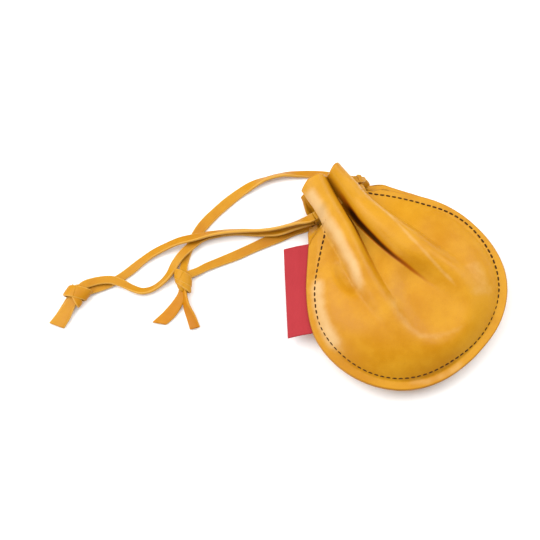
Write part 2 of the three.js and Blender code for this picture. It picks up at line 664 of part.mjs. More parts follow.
const valleyLine = (y) => {
  const edges = ['right_1', 'left_2'].map((name) => sectionValue(FRONT_SECTIONS, name, y));
  return BODY_RADIUS * (edges[0] + edges[1]) / 2;
};
const backLine = (y) => FLAP_SHIFT * smoothstep(0, FIRST_LACE_REACH, y);
const backStops = (side, y, edgeX, middleX, flange) => [Math.min(flange, FLANGE_SHARE), 1];

const tabTop = FRONT_SEAM_TOP + TAB_LENGTH;
const frontRows = panelRows(frontHeight, frontEdges, FRONT_SEAM_TOP, valleyLine, frontStops, FRONT_MESH);
const backRows = panelRows(backHeight, backEdges, tabTop, backLine, backStops, BACK_MESH);
let front = solid(thicken(middleSurface(frontRows), LEATHER));
let back = solid(thicken(middleSurface(backRows), LEATHER));
const cutters = laceRuns.map(([, reach, exit, bend]) => neckLace(reach, exit, bend, SLIT_CLEARANCE));
cutters.push(labelGeometry(SLIT_CLEARANCE));
for (const cutter of cutters.map(solid)) {
  front = front.subtract(cutter);
  back = back.subtract(cutter);
}

const pouch = new THREE.Group();
pouch.add(named('front_panel', geometryOf(front), LEATHER_FINISH));
pouch.add(named('back_panel', geometryOf(back), LEATHER_FINISH));
pouch.add(named('label', labelGeometry(0), LABEL_FINISH));
for (const [name, reach, exit, bend] of laceRuns) {
  pouch.add(named(name, neckLace(reach, exit, bend, 0), LEATHER_FINISH));
}
const strands = {
  lace_1_upper: LACE_1_UPPER, lace_1_lower: LACE_1_LOWER,
  lace_2_upper: LACE_2_UPPER, lace_2_lower: LACE_2_LOWER,
};
for (const [name, points] of Object.entries(strands)) {
  pouch.add(named(name, thong(points, STRAND_STEPS[name]), LEATHER_FINISH));
}
pouch.add(named('knot_1', geometryOf(knotSolid(KNOT_1)), LEATHER_FINISH));
pouch.add(named('knot_2', geometryOf(knotSolid(KNOT_2)), LEATHER_FINISH));

export default pouch;
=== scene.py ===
import math

import bpy
import numpy as np
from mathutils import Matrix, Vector


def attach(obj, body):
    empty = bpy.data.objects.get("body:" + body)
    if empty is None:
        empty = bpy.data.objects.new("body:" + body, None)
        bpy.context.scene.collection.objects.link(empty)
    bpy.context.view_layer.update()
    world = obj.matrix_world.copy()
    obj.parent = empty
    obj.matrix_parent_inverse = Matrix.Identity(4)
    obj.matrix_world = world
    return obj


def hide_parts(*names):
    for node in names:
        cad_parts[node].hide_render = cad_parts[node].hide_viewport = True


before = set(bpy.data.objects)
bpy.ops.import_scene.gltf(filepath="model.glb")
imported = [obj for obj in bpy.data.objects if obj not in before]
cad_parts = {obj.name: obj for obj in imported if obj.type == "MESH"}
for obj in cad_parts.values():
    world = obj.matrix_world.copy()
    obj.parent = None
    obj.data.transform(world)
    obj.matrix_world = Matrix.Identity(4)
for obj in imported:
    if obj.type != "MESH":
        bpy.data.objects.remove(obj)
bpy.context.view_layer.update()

# Sizes of the soft model in millimetres
MM = 0.001
BODY_RADIUS = 60
SHOULDER_ANGLE = math.radians(36.9)
LEATHER = 1.6
SEAM_HEIGHT = 13
SEAM_GAP = 0.3
FLANGE_WIDTH = 5.2
FRONT_RISE = 14
FRONT_SEAM_TOP = 60.8
FRONT_RIGHT_TOP = 64.8
RIGHT_PULL = 3
TAB_TOP = FRONT_SEAM_TOP + 7.7
TAB_DROOP = 8
CORNER_RADIUS = 6
NECK_WIDTH = 35
MOUTH_REACH = 85
FOLD_HEIGHT = 12
FOLD_FADE = 8
BACK_FOLD_DEPTH = 4
FLAP_WIDTH = 37
FLAP_SHIFT = -3.5
NOTCH_DEPTH = 3.5
NOTCH_RAMP = 3
NOTCH_BITE = 0.8
RIGHT_FLAP_INSET = 1.6
MOUTH_FLARE = 0.8
POLE_REACH = 18
LACE_WIDTH = 5
LACE_THICKNESS = 2
FIRST_LACE_REACH = 67.8
LACE_PITCH = 6
FRONT_LACE_HEIGHT = 17
BACK_LACE_HEIGHT = 8
LEFT_EXIT_REACH = 1.8
LEFT_BEND_INSET = 2
RIGHT_EXIT_REACH = 2.8
RIGHT_BEND_REACH = 3
LABEL_LENGTH = 55
LABEL_SHOWING = 15.4
LABEL_INSERT = 4.2
LABEL_THICKNESS = 0.8
LABEL_FLAT = 6.5
LABEL_DROOP = math.radians(14)
LABEL_TOP_REACH = 57.2
LABEL_SKEW = 0.14
CLIMB_POWER = 3
ARCH_POWER = 2.4
DENT_POWER = 5
BACK_FOLD_SOFT = 0.6
ROW_SOFTNESS = 0.6

FRONT_COLUMNS = ["at", "left_1", "right_1", "left_2", "right_2", "floor",
                 "rise_1", "rise_2", "soft", "fade", "spread"]
FRONT_SECTIONS = np.array([
    [1.00, -0.300, -0.036, 0.000, 0.155, 0.60, 0.86, 0.90, 0.50, 0.50, 0.30],
    [0.92, -0.298, -0.040, -0.004, 0.178, 0.40, 0.92, 0.97, 0.50, 0.50, 0.30],
    [0.85, -0.296, -0.044, -0.004, 0.200, 0.20, 0.98, 1.04, 0.50, 0.50, 0.30],
    [0.71, -0.298, -0.048, -0.004, 0.235, 0.04, 1.08, 1.10, 0.50, 0.50, 0.30],
    [0.59, -0.320, -0.058, -0.004, 0.280, 0.14, 1.02, 1.10, 0.54, 0.50, 0.32],
    [0.47, -0.346, -0.086, 0.018, 0.335, 0.32, 0.88, 1.00, 0.60, 0.52, 0.36],
    [0.35, -0.372, -0.118, 0.046, 0.395, 0.50, 0.70, 0.84, 0.68, 0.62, 0.42],
    [0.235, -0.398, -0.142, 0.084, 0.455, 0.65, 0.52, 0.68, 0.78, 0.80, 0.50],
    [0.12, -0.410, -0.158, 0.142, 0.520, 0.79, 0.36, 0.52, 0.95, 1.05, 0.58],
    [0.00, -0.415, -0.166, 0.208, 0.580, 0.91, 0.22, 0.34, 1.25, 1.35, 0.64],
    [-0.17, -0.415, -0.166, 0.250, 0.620, 1.00, 0.10, 0.16, 1.70, 1.70, 0.66],
    [-0.45, -0.415, -0.166, 0.250, 0.640, 1.00, 0.00, 0.00, 2.00, 2.00, 0.66],
])
# Dents of the front: x, y, reach_x and reach_y as shares of BODY_RADIUS, rise of FRONT_RISE
FRONT_DENTS = [
    (0.125, -0.25, 0.31, 0.42, -0.36),
    (0.66, 0.20, 0.22, 0.30, -0.10),
    (-0.44, 0.40, 0.08, 0.18, -0.16),
]
# How far the outline leaves its ideal line: direction in degrees, share of BODY_RADIUS
OUTLINE_SHIFTS = np.array([
    (-180, -0.002), (-150, -0.009), (-122, -0.018), (-105, -0.040), (-85, -0.064), (-68, -0.056),
    (-55, -0.022), (-45, 0.002), (-32, 0.026), (-20, 0.036), (-5, 0.020), (10, 0.002), (30, 0.004),
    (48, 0.012), (60, -0.004), (74, -0.004), (90, 0), (108, 0), (119, -0.026), (140, -0.027), (151, -0.038),
    (163, -0.024), (172, -0.006), (180, -0.002),
])
# The stitched seam: direction in degrees, share of the ideal outline's radius there
SEAM_LINE = np.array([
    (-253, 0.816), (-250, 0.826), (-241, 0.852), (-233, 0.866), (-224, 0.883), (-215, 0.888),
    (-205, 0.889), (-196, 0.899), (-187, 0.903), (-180, 0.899), (-165, 0.892), (-146, 0.889),
    (-128, 0.880), (-119, 0.868), (-110, 0.856), (-101, 0.842), (-92, 0.834), (-83, 0.836),
    (-74, 0.850), (-65, 0.866), (-56, 0.885), (-47, 0.906), (-38, 0.931), (-29, 0.949),
    (-20, 0.956), (-11, 0.960), (15, 0.960), (25, 0.955), (33, 0.948), (42, 0.937), (51, 0.927),
    (60, 0.907), (68, 0.882), (74, 0.850), (76, 0.838),
])
# Painted shade in the creases at the folds' inner feet: reach along Y, strength beside fold 1 and beside fold
# 2
CREASE_SHADE_TABLE = np.array([
    (-10, 0.00, 0.00), (0, 0.00, 0.30), (12, 0.10, 0.65), (24, 0.25, 0.85), (36, 0.45, 1.00),
    (46, 0.80, 1.00), (56, 1.00, 1.00), (64, 0.60, 0.60), (74, 0.20, 0.20), (86, 0.00, 0.00),
])
CREASE_SHADE_WIDTH = 1.5
CREASE_SHADE_SOFT = 0.2
# Painted highlights, pale streaks along the folds and flanks where the light catches them: half width,
# strength, and the line as x and y
HIGHLIGHT_STREAKS = [
    (4.0, 0.85, [(-14.5, 83.0), (-16.0, 77.0), (-16.4, 64.0), (-16.4, 52.0), (-17.8, 40.0),
                 (-19.0, 28.6), (-21.4, 19.0), (-24.6, 9.0)]),
    (4.8, 0.80, [(-38.0, 36.0), (-44.0, 27.0), (-48.6, 18.0), (-51.6, 8.0), (-52.4, -2.0), (-50.6, -12.0)]),
    (1.6, 0.45, [(12.0, 73.0), (13.4, 59.0), (16.2, 42.0), (18.6, 22.0), (21.3, 5.0), (24.5, -10.0),
                 (26.6, -20.0)]),
    (3.0, 0.38, [(-10.4, 8.4), (-11.0, -2.0), (-12.1, -12.1), (-11.5, -21.7), (-8.9, -28.4),
                 (-1.8, -33.6), (6.9, -36.3), (16.7, -37.6), (27.5, -35.2)]),
    (8.0, 0.40, [(42.0, -6.0), (41.0, -20.0), (36.0, -29.6)]),
    (3.0, 0.42, [(-30.0, -46.5), (-18.0, -52.6), (-5.0, -55.0), (9.0, -54.0)]),
]
# The mouth's cut line: place across, offset along Y
MOUTH_LINE = np.array([
    (-18.5, -0.6), (-12.7, 1.3), (-6, 0.8), (-2, -1.4), (1, -1.8), (5, 0.2), (9, 1.3),
])
BACK_COLUMNS = ["at", "depth", "fold", "spread"]
BACK_SECTIONS = np.array([
    [1.00, 0.12, 0.80, 0.20],
    [0.86, 0.16, 1.00, 0.20],
    [0.72, 0.30, 0.90, 0.30],
    [0.60, 0.60, 0.45, 0.38],
    [0.45, 0.88, 0.15, 0.48],
    [0.30, 1.00, 0.00, 0.54],
    [-1.00, 1.00, 0.00, 0.54],
])
BACK_FOLDS = [(-0.62, 0.27), (0, 0.27), (0.62, 0.27)]

# Free strands: x, y, z and the turn of the thong about its own run in degrees
LACE_1_UPPER = [
    (-20.0, 67.8, 17.0, 0), (-23.6, 68.3, 16.6, 15), (-29.5, 70.6, 14.2, 60), (-35.5, 73.0, 11.4, 75),
    (-42.0, 75.6, 9.4, 80), (-49.5, 79.4, 8.2, 80), (-58.0, 84.6, 7.5, 75), (-66.8, 89.8, 7.2, 65),
    (-76.4, 94.4, 7.4, 50), (-86.3, 97.8, 7.6, 30), (-95.9, 101.4, 6.4, 20), (-104.9, 103.3, 4.4, 20),
    (-113.8, 104.2, 2.8, 20), (-121.6, 103.7, 2.2, 10), (-129.3, 102.7, 1.6, 0),
    (-137.0, 102.2, 1.3, 0), (-144.6, 102.6, 1.4, 0), (-151.4, 103.6, 1.9, 0), (-157.7, 104.9, 2.9, 0),
    (-161.0, 106.0, 3.6, 0),
]
LACE_1_LOWER = [
    (-20.1, 67.8, 8.0, 0), (-26.0, 69.3, 8.6, 20), (-33.1, 71.3, 7.0, 30), (-42.7, 74.8, 4.8, 15),
    (-51.4, 80.4, 3.0, 15), (-60.8, 87.2, 2.4, 20), (-71.6, 93.0, 2.6, 15), (-82.2, 96.0, 3.5, 8),
    (-91.1, 95.4, 3.9, 5), (-98.0, 94.0, 4.3, 5), (-104.6, 91.4, 3.9, 12), (-111.2, 87.8, 3.0, 40),
    (-117.8, 85.8, 2.8, 45), (-125.1, 85.5, 2.7, 40), (-131.0, 87.7, 2.9, 30), (-135.0, 92.4, 3.1, 15),
    (-138.5, 98.0, 3.8, 0), (-142.9, 103.2, 4.2, 0), (-148.4, 106.4, 4.3, 0), (-153.8, 108.2, 4.8, 0),
    (-158.5, 108.9, 5.3, 0), (-161.5, 108.4, 5.0, 0),
]
LACE_2_LOWER = [
    (16.1, 73.8, 8.0, 0), (18.6, 72.8, 8.0, 0), (19.6, 70.2, 6.6, 0), (17.6, 67.4, 3.6, 0),
    (12.0, 65.6, 1.6, 0), (3.0, 64.8, 1.2, 0), (-8.0, 64.5, 1.2, 0), (-18.0, 66.0, 1.2, 0),
    (-25.0, 67.9, 1.2, 0), (-33.2, 70.3, 1.2, 0), (-42.0, 71.9, 1.2, 0), (-50.3, 73.6, 1.2, 0),
    (-59.2, 74.9, 1.2, 0), (-70.7, 76.4, 1.2, 0), (-81.6, 78.4, 1.3, 0), (-89.8, 79.8, 1.8, 0),
    (-95.8, 80.2, 2.4, 0), (-100.6, 80.8, 3.3, 0), (-104.0, 80.8, 4.0, 0),
]
LACE_2_UPPER = [
    (15.5, 73.8, 17.0, 0), (17.6, 73.0, 14.8, 0), (18.2, 73.6, 10.6, 0), (17.0, 76.2, 5.6, 0),
    (12.8, 80.8, 2.2, 0), (8.4, 85.6, 1.3, 0), (3.2, 90.6, 1.2, 0), (-3.4, 95.2, 1.2, 0),
    (-10.3, 99.4, 2.2, 25), (-19.2, 104.2, 3.5, 60), (-29.2, 107.4, 3.5, 60), (-38.4, 108.8, 2.6, 30),
    (-50.6, 108.6, 1.3, 0), (-64.3, 106.6, 1.2, 0), (-73.8, 104.4, 1.2, 0), (-80.8, 102.1, 1.2, 0),
    (-86.6, 99.3, 1.2, 0), (-91.6, 96.1, 1.2, 0), (-95.6, 93.0, 1.2, 0), (-98.8, 90.0, 1.3, 0),
    (-102.0, 86.4, 2.8, 0), (-104.2, 82.8, 4.0, 0),
]

# The photograph's view, in millimetres
VIEW_TARGET = Vector((-59.925, 54.751, 13.5))
VIEW_PLACE = Vector((-185.07, -141.71, 882.83))
VIEW_LENS = 100

SHOULDER_NORMAL = (math.cos(SHOULDER_ANGLE), math.sin(SHOULDER_ANGLE))
SHOULDER_REACH = BODY_RADIUS * SHOULDER_NORMAL[1]


# Small helpers

def lerp(a, b, t):
    return a + (b - a) * t


def smoothstep(low, high, value):
    t = np.clip((value - low) / (high - low), 0, 1)
    return t * t * (3 - 2 * t)


def unit(rows):
    rows = np.asarray(rows, float)
    return rows / np.maximum(np.linalg.norm(rows, axis=-1, keepdims=True), 1e-9)


def mesh_object(name, points, faces, smooth=True):
    """A mesh object from points in millimetres."""
    mesh = bpy.data.meshes.new(name)
    mesh.from_pydata([tuple(point) for point in np.asarray(points) * MM], [], faces)
    mesh.validate()
    mesh.polygons.foreach_set("use_smooth", [smooth] * len(mesh.polygons))
    piece = bpy.data.objects.new(name, mesh)
    bpy.context.scene.collection.objects.link(piece)
    return piece


def paint(piece, name, values):
    """One number for each vertex, for the materials to read."""
    layer = piece.data.attributes.new(name, "FLOAT", "POINT")
    layer.data.foreach_set("value", np.asarray(values, float))


# Camera first

def make_camera():
    data = bpy.data.cameras.new("camera")
    data.lens = VIEW_LENS
    data.sensor_width = 36
    data.clip_start = 0.01
    data.clip_end = 20
    camera = bpy.data.objects.new("camera", data)
    camera.location = VIEW_PLACE * MM
    camera.rotation_mode = "QUATERNION"
    camera.rotation_quaternion = (VIEW_TARGET - VIEW_PLACE).to_track_quat("-Z", "Y")
    bpy.context.scene.collection.objects.link(camera)
    bpy.context.scene.camera = camera


make_camera()


# Thongs

def smooth_path(points, step=0.8):
    """Centripetal curve through the points, with even steps; the turn rides along as a fourth number."""
    points = np.asarray(points, float)
    places = points[:, :3]
    before = 2 * places[0] - places[1]
    after = 2 * places[-1] - places[-2]
    padded = np.vstack([before, places, after])
    dense = []
    spans = len(places) - 1
    for span in range(spans):
        p0, p1, p2, p3 = padded[span:span + 4]
        d0, d1, d2 = [max(np.linalg.norm(b - a), 1e-6) ** 0.5 for a, b in ((p0, p1), (p1, p2), (p2, p3))]
        m1 = ((p1 - p0) / d0 - (p2 - p0) / (d0 + d1) + (p2 - p1) / d1) * d1
        m2 = ((p2 - p1) / d1 - (p3 - p1) / (d1 + d2) + (p3 - p2) / d2) * d1
        for t in np.linspace(0, 1, 24, endpoint=span == spans - 1):
            place = p1 + m1 * t + (3 * (p2 - p1) - 2 * m1 - m2) * t ** 2 + (2 * (p1 - p2) + m1 + m2) * t ** 3
            dense.append([*place, lerp(points[span, 3], points[span + 1, 3], t)])
    dense = np.array(dense)
    lengths = np.concatenate([[0], np.cumsum(np.linalg.norm(np.diff(dense[:, :3], axis=0), axis=1))])
    along = np.linspace(0, lengths[-1], max(8, int(lengths[-1] / step)) + 1)
    return np.stack([np.interp(along, lengths, dense[:, k]) for k in range(4)], axis=1), along


def section(width, thickness, rounding=0.42):
    """A rounded strip's outline as across, up and how much it is the cut edge."""
    radius = thickness * rounding
    corners = [(1, -1, -90), (1, 1, 0), (-1, 1, 90), (-1, -1, 180)]
    outline = []
    for side, top, start in corners:
        for turn in (0, 30, 60, 90):
            angle = math.radians(start + turn)
            outline.append((side * (width / 2 - radius) + radius * math.cos(angle),
                            top * (thickness / 2 - radius) + radius * math.sin(angle)))
        if side * top > 0:
            outline += [(lerp(side, -side, t) * (width / 2 - radius), top * thickness / 2)
                        for t in (0.2, 0.4, 0.6, 0.8)]
    return outline


def frames_of(centres, turns):
    """The run and the wide direction at each place of a path."""
    run = unit(np.gradient(centres, axis=0))
    level = unit(np.stack([-run[:, 1], run[:, 0], np.zeros(len(run))], axis=1))
    up = np.cross(run, level)
    turns = np.radians(turns)[:, None]
    return run, np.cos(turns) * level + np.sin(turns) * up


def strip(name, centres, wides, runs, widths, thickness, slants=(0, 0), cup=0.0):
    """A thong swept along its path, with its ends cut across at a slant."""
    count = len(centres)
    widths = np.broadcast_to(widths, (count,))
    along = np.concatenate([[0], np.cumsum(np.linalg.norm(np.diff(centres, axis=0), axis=1))])
    points = []
    edge = []
    for place in range(count):
        up = np.cross(runs[place], wides[place])
        width = widths[place]
        outline = section(width, thickness)
        lean = (slants[0] * max(0, 1 - along[place] / (2 * width))
                + slants[1] * max(0, 1 - (along[-1] - along[place]) / (2 * width)))
        for across, high in outline:
            bow = cup * ((2 * across / width) ** 2 - 0.5)
            points.append(centres[place] + wides[place] * across + up * (high + bow)
                          + runs[place] * across * lean)
            edge.append(1.0 if abs(across) > width / 2 - thickness * 0.22 else 0.0)
    ring = len(outline)
    faces = []
    for place in range(count - 1):
        a, b = place * ring, (place + 1) * ring
        faces += [(a + k, a + (k + 1) % ring, b + (k + 1) % ring, b + k) for k in range(ring)]
    faces.append(tuple(reversed(range(ring))))
    faces.append(tuple(range((count - 1) * ring, count * ring)))
    piece = mesh_object(name, points, faces)
    paint(piece, "edge", edge)
    return piece


def make_strand(name, points, width_wave, broad):
    path, along = smooth_path(points)
    centres, turns = path[:, :3], path[:, 3]
    runs, wides = frames_of(centres, turns)
    share = along / along[-1]
    broader = broad * smoothstep(0.42, 0.55, share) * (1 - smoothstep(0.78, 0.92, share))
    widths = LACE_WIDTH * (1 + broader + 0.05 * np.sin(along / width_wave) + 0.03 * np.sin(along / 3.1 + 1))
    piece = strip(name, centres, wides, runs, widths, LACE_THICKNESS, cup=0.12)
    return piece, centres, along[-1]


STRANDS = {}
for strand_name, strand_points, wave, broad_share in (
    ("lace_1_upper", LACE_1_UPPER, 9.0, 0.05), ("lace_1_lower", LACE_1_LOWER, 11.0, 0.0),
    ("lace_2_upper", LACE_2_UPPER, 8.0, 0.28), ("lace_2_lower", LACE_2_LOWER, 10.0, 0.26),
):
    STRANDS[strand_name] = make_strand(strand_name + "_thong", strand_points, wave, broad_share)


def neck_thong(name, reach, exit_x, bend_x):
    """The threaded stretch of a drawstring: through the front folds, round and back."""
    side = math.copysign(1, bend_x - exit_x)
    radius = (FRONT_LACE_HEIGHT - BACK_LACE_HEIGHT) / 2
    middle = (FRONT_LACE_HEIGHT + BACK_LACE_HEIGHT) / 2
    centre = bend_x - side * radius
    start = exit_x - side * 0.6
    line = [(x, reach, FRONT_LACE_HEIGHT) for x in np.linspace(start, centre, 40)]
    for angle in np.radians(np.linspace(90, -90, 24)[1:-1]):
        line.append((centre + side * radius * math.cos(angle), reach, middle + radius * math.sin(angle)))
    line += [(x, reach, BACK_LACE_HEIGHT) for x in np.linspace(centre, start, 40)]
    centres = np.array(line, float)
    runs = unit(np.gradient(centres, axis=0))
    wides = np.tile([0.0, 1.0, 0.0], (len(line), 1))
    return strip(name, centres, wides, runs, LACE_WIDTH, LACE_THICKNESS)


# The panels' shape

def fine_column(sections, columns, name):
    """A column of a section table on fine reaches, eased between its rows."""
    at = sections[:, 0]
    reach = np.where(at < 0, at * BODY_RADIUS, at * MOUTH_REACH)[::-1]
    values = sections[::-1, columns.index(name)]
    fine = np.arange(-80, 100, 0.5)
    line = np.interp(fine, reach, values)
    kernel = np.exp(-0.5 * (np.arange(-12, 13) * 0.5 / 2.2) ** 2)
    padded = np.pad(line, 12, mode="edge")
    return fine, np.convolve(padded, kernel / kernel.sum(), mode="valid")


FRONT = {name: fine_column(FRONT_SECTIONS, FRONT_COLUMNS, name) for name in FRONT_COLUMNS[1:]}
BACK = {name: fine_column(BACK_SECTIONS, BACK_COLUMNS, name) for name in BACK_COLUMNS[1:]}


def value(table, name, y):
    return np.interp(y, *table[name])


SHIFT_ANGLES = np.arange(-180, 180.5, 1.0)
SHIFT_KERNEL = np.exp(-0.5 * (np.arange(-12, 13) / 4.0) ** 2)
SHIFT_SHARES = np.convolve(np.pad(np.interp(SHIFT_ANGLES, OUTLINE_SHIFTS[:, 0], OUTLINE_SHIFTS[:, 1]), 12,
                                  mode="wrap"), SHIFT_KERNEL / SHIFT_KERNEL.sum(), mode="valid")


def placed(x, y):
    """Moves points of the plan from the ideal outline's shape to the true one."""
    shift = np.interp(np.degrees(np.arctan2(y, x)), SHIFT_ANGLES, SHIFT_SHARES)
    grow = 1 + shift * smoothstep(0.3, 0.95, np.hypot(x, y) / BODY_RADIUS)
    return x * grow, y * grow


def inset(x, y):
    radius = np.hypot(x, y)
    above = y > radius * SHOULDER_NORMAL[1]
    return BODY_RADIUS - np.where(above, np.abs(x) * SHOULDER_NORMAL[0] + y * SHOULDER_NORMAL[1], radius)


def tangent_half_width(y):
    return (BODY_RADIUS - y * SHOULDER_NORMAL[1]) / SHOULDER_NORMAL[0]


def climb(x, y, spread):
    share = np.clip((inset(x, y) - FLANGE_WIDTH) / (spread * BODY_RADIUS), 0, 1)
    return 1 - (1 - share) ** CLIMB_POWER


def arch(t, soft):
    return np.maximum(0, 1 - np.abs(t) ** ARCH_POWER) ** soft


def front_height(x, y):
    col = {name: value(FRONT, name, y) for name in FRONT_COLUMNS[1:]}
    flange_level = SEAM_HEIGHT + SEAM_GAP / 2 + LEATHER / 2
    edges = [col[name] * BODY_RADIUS for name in ("left_1", "right_1", "left_2", "right_2")]
    valley = (edges[1] + edges[2]) / 2
    seam_top = np.where(x > valley, FRONT_RIGHT_TOP, FRONT_SEAM_TOP)
    free = smoothstep(seam_top - CORNER_RADIUS / 2, FIRST_LACE_REACH + LACE_WIDTH / 2, y)
    foot = FRONT_LACE_HEIGHT + LACE_THICKNESS / 2 + LEATHER - flange_level
    away = np.minimum(1, np.abs(x - valley) / (NECK_WIDTH / 2))
    floor = col["floor"] * FRONT_RISE
    sewn = climb(x, y, col["spread"])
    clear = lerp(smoothstep(FLANGE_WIDTH, FLANGE_WIDTH + FOLD_FADE, inset(x, y)), 1, free)
    height = flange_level + lerp(floor * sewn, lerp(floor, foot, away), free)
    folds = [(edges[0], edges[1], col["rise_1"], col["soft"]),
             (edges[2], edges[3], col["rise_2"], col["fade"])]
    for left, right, rise, right_soft in folds:
        t = (2 * x - left - right) / (right - left)
        soft = np.where(t > 0, right_soft, col["soft"])
        height = height + rise * (FOLD_HEIGHT - free * away * foot / 2) * arch(t, soft) * clear
    for dent_x, dent_y, reach_x, reach_y, rise in FRONT_DENTS:
        apart = np.hypot((x / BODY_RADIUS - dent_x) / reach_x, (y / BODY_RADIUS - dent_y) / reach_y)
        height = height + rise * FRONT_RISE * np.exp(-(apart ** DENT_POWER)) * sewn
    return height


def tab_share(x, y):
    """How far a point of the back panel belongs to a tab beside the flap."""
    half = FLAP_WIDTH / 2
    outside = smoothstep(half - 2 * NOTCH_DEPTH, half, np.abs(x - FLAP_SHIFT))
    return outside * (1 - smoothstep(TAB_TOP, TAB_TOP + NOTCH_RAMP, y))


def back_height(x, y):
    flange_level = SEAM_HEIGHT - SEAM_GAP / 2 - LEATHER / 2
    drop = flange_level - LEATHER / 2
    free = smoothstep(FRONT_SEAM_TOP, FIRST_LACE_REACH, y)
    tab = tab_share(x, y)
    depth = value(BACK, "depth", y) * drop * lerp(climb(x, y, value(BACK, "spread", y)), 1, free * (1 - tab))
    droop = tab * TAB_DROOP * smoothstep(FRONT_SEAM_TOP - 2, TAB_TOP - 2, y)
    depth = depth + np.where(x < FLAP_SHIFT, droop, 0)
    for centre, half in BACK_FOLDS:
        t = (x - FLAP_SHIFT - centre * FLAP_WIDTH / 2) / (half * FLAP_WIDTH / 2)
        depth = depth + value(BACK, "fold", y) * BACK_FOLD_DEPTH * arch(t, BACK_FOLD_SOFT)
    return flange_level - np.minimum(depth, drop)


def rounded_half_width(y, top, inner):
    outer = tangent_half_width(y)
    below = top - y
    if below >= CORNER_RADIUS:
        return outer
    bow = math.sqrt(max(0, 1 - (1 - below / CORNER_RADIUS) ** 2))
    return lerp(inner, outer, bow)


def front_edges(y):
    left = value(FRONT, "left_1", y) * BODY_RADIUS
    right = value(FRONT, "right_2", y) * BODY_RADIUS
    pull = RIGHT_PULL * float(smoothstep(SHOULDER_REACH, FRONT_SEAM_TOP, y))
    if y < FRONT_RIGHT_TOP:
        right = max(right, rounded_half_width(y, FRONT_RIGHT_TOP, right) - pull / SHOULDER_NORMAL[0])
    if y < FRONT_SEAM_TOP:
        left = -rounded_half_width(y, FRONT_SEAM_TOP, -left)
    return left, right


def back_edges(y):
    flap = FLAP_WIDTH / 2
    notch = flap - NOTCH_DEPTH
    notch_top = FIRST_LACE_REACH + LACE_WIDTH / 2
    if y < TAB_TOP:
        left = -rounded_half_width(y, TAB_TOP, notch - FLAP_SHIFT)
        return left, rounded_half_width(y, TAB_TOP, notch + FLAP_SHIFT)
    flare = lerp(1, MOUTH_FLARE, smoothstep(notch_top, MOUTH_REACH, y))
    half = lerp(notch, flap * flare, smoothstep(notch_top, notch_top + NOTCH_RAMP, y))
    return FLAP_SHIFT - half, FLAP_SHIFT + min(half, flap - RIGHT_FLAP_INSET)


def half_row(edge, middle, height, stops, counts):
    """Points of one half row from the panel's edge in, the columns evenly spread over the leather."""
    steps = 400
    spacing = math.hypot(middle[0] - edge[0], middle[1] - edge[1]) / steps
    reach = max(2, int(3 * ROW_SOFTNESS / spacing))
    kernel = np.exp(-0.5 * (np.arange(-reach, reach + 1) * spacing / ROW_SOFTNESS) ** 2)
    share = np.arange(-reach, steps + reach + 1) / steps
    z = height(lerp(edge[0], middle[0], share), lerp(edge[1], middle[1], share))
    z = np.convolve(z, kernel / kernel.sum(), mode="valid")
    share = np.linspace(0, 1, steps + 1)
    x = lerp(edge[0], middle[0], share)
    y = lerp(edge[1], middle[1], share)
    lengths = np.concatenate([[0], np.cumsum(np.sqrt(np.diff(x) ** 2 + np.diff(y) ** 2 + np.diff(z) ** 2))])
    marks = np.concatenate([[0], np.interp(stops, share, lengths)])
    along = [0.0]
    for stretch, count in enumerate(counts):
        along += list(np.linspace(marks[stretch], marks[stretch + 1], count + 1)[1:])
    x, y, z = [np.interp(along, lengths, line) for line in (x, y, z)]
    x, y = placed(x, y)
    y = y + np.interp(x, MOUTH_LINE[:, 0], MOUTH_LINE[:, 1]) * smoothstep(MOUTH_REACH - 9, MOUTH_REACH, y)
    return np.stack([x, y, z], axis=1)


def front_stops(side, y, edge_x, middle_x, flange):
    names = ("left_1", "right_1") if side < 0 else ("right_2", "left_2")
    outer, inner = [value(FRONT, name, y) * BODY_RADIUS for name in names]
    onto_fold = 0.3 * smoothstep(FRONT_SEAM_TOP - 16, FRONT_SEAM_TOP, y)
    nearest = (lerp(outer, middle_x, onto_fold) - edge_x) / (middle_x - edge_x)
    farthest = max((inner - edge_x) / (middle_x - edge_x), nearest + 0.02)
    return [min(flange, 0.4 * nearest), nearest, farthest, 1]


def back_stops(side, y, edge_x, middle_x, flange):
    return [min(flange, 0.4), 1]


def valley_line(y):
    return BODY_RADIUS * (value(FRONT, "right_1", y) + value(FRONT, "left_2", y)) / 2


def back_line(y):
    return FLAP_SHIFT * float(smoothstep(0, FIRST_LACE_REACH, y))


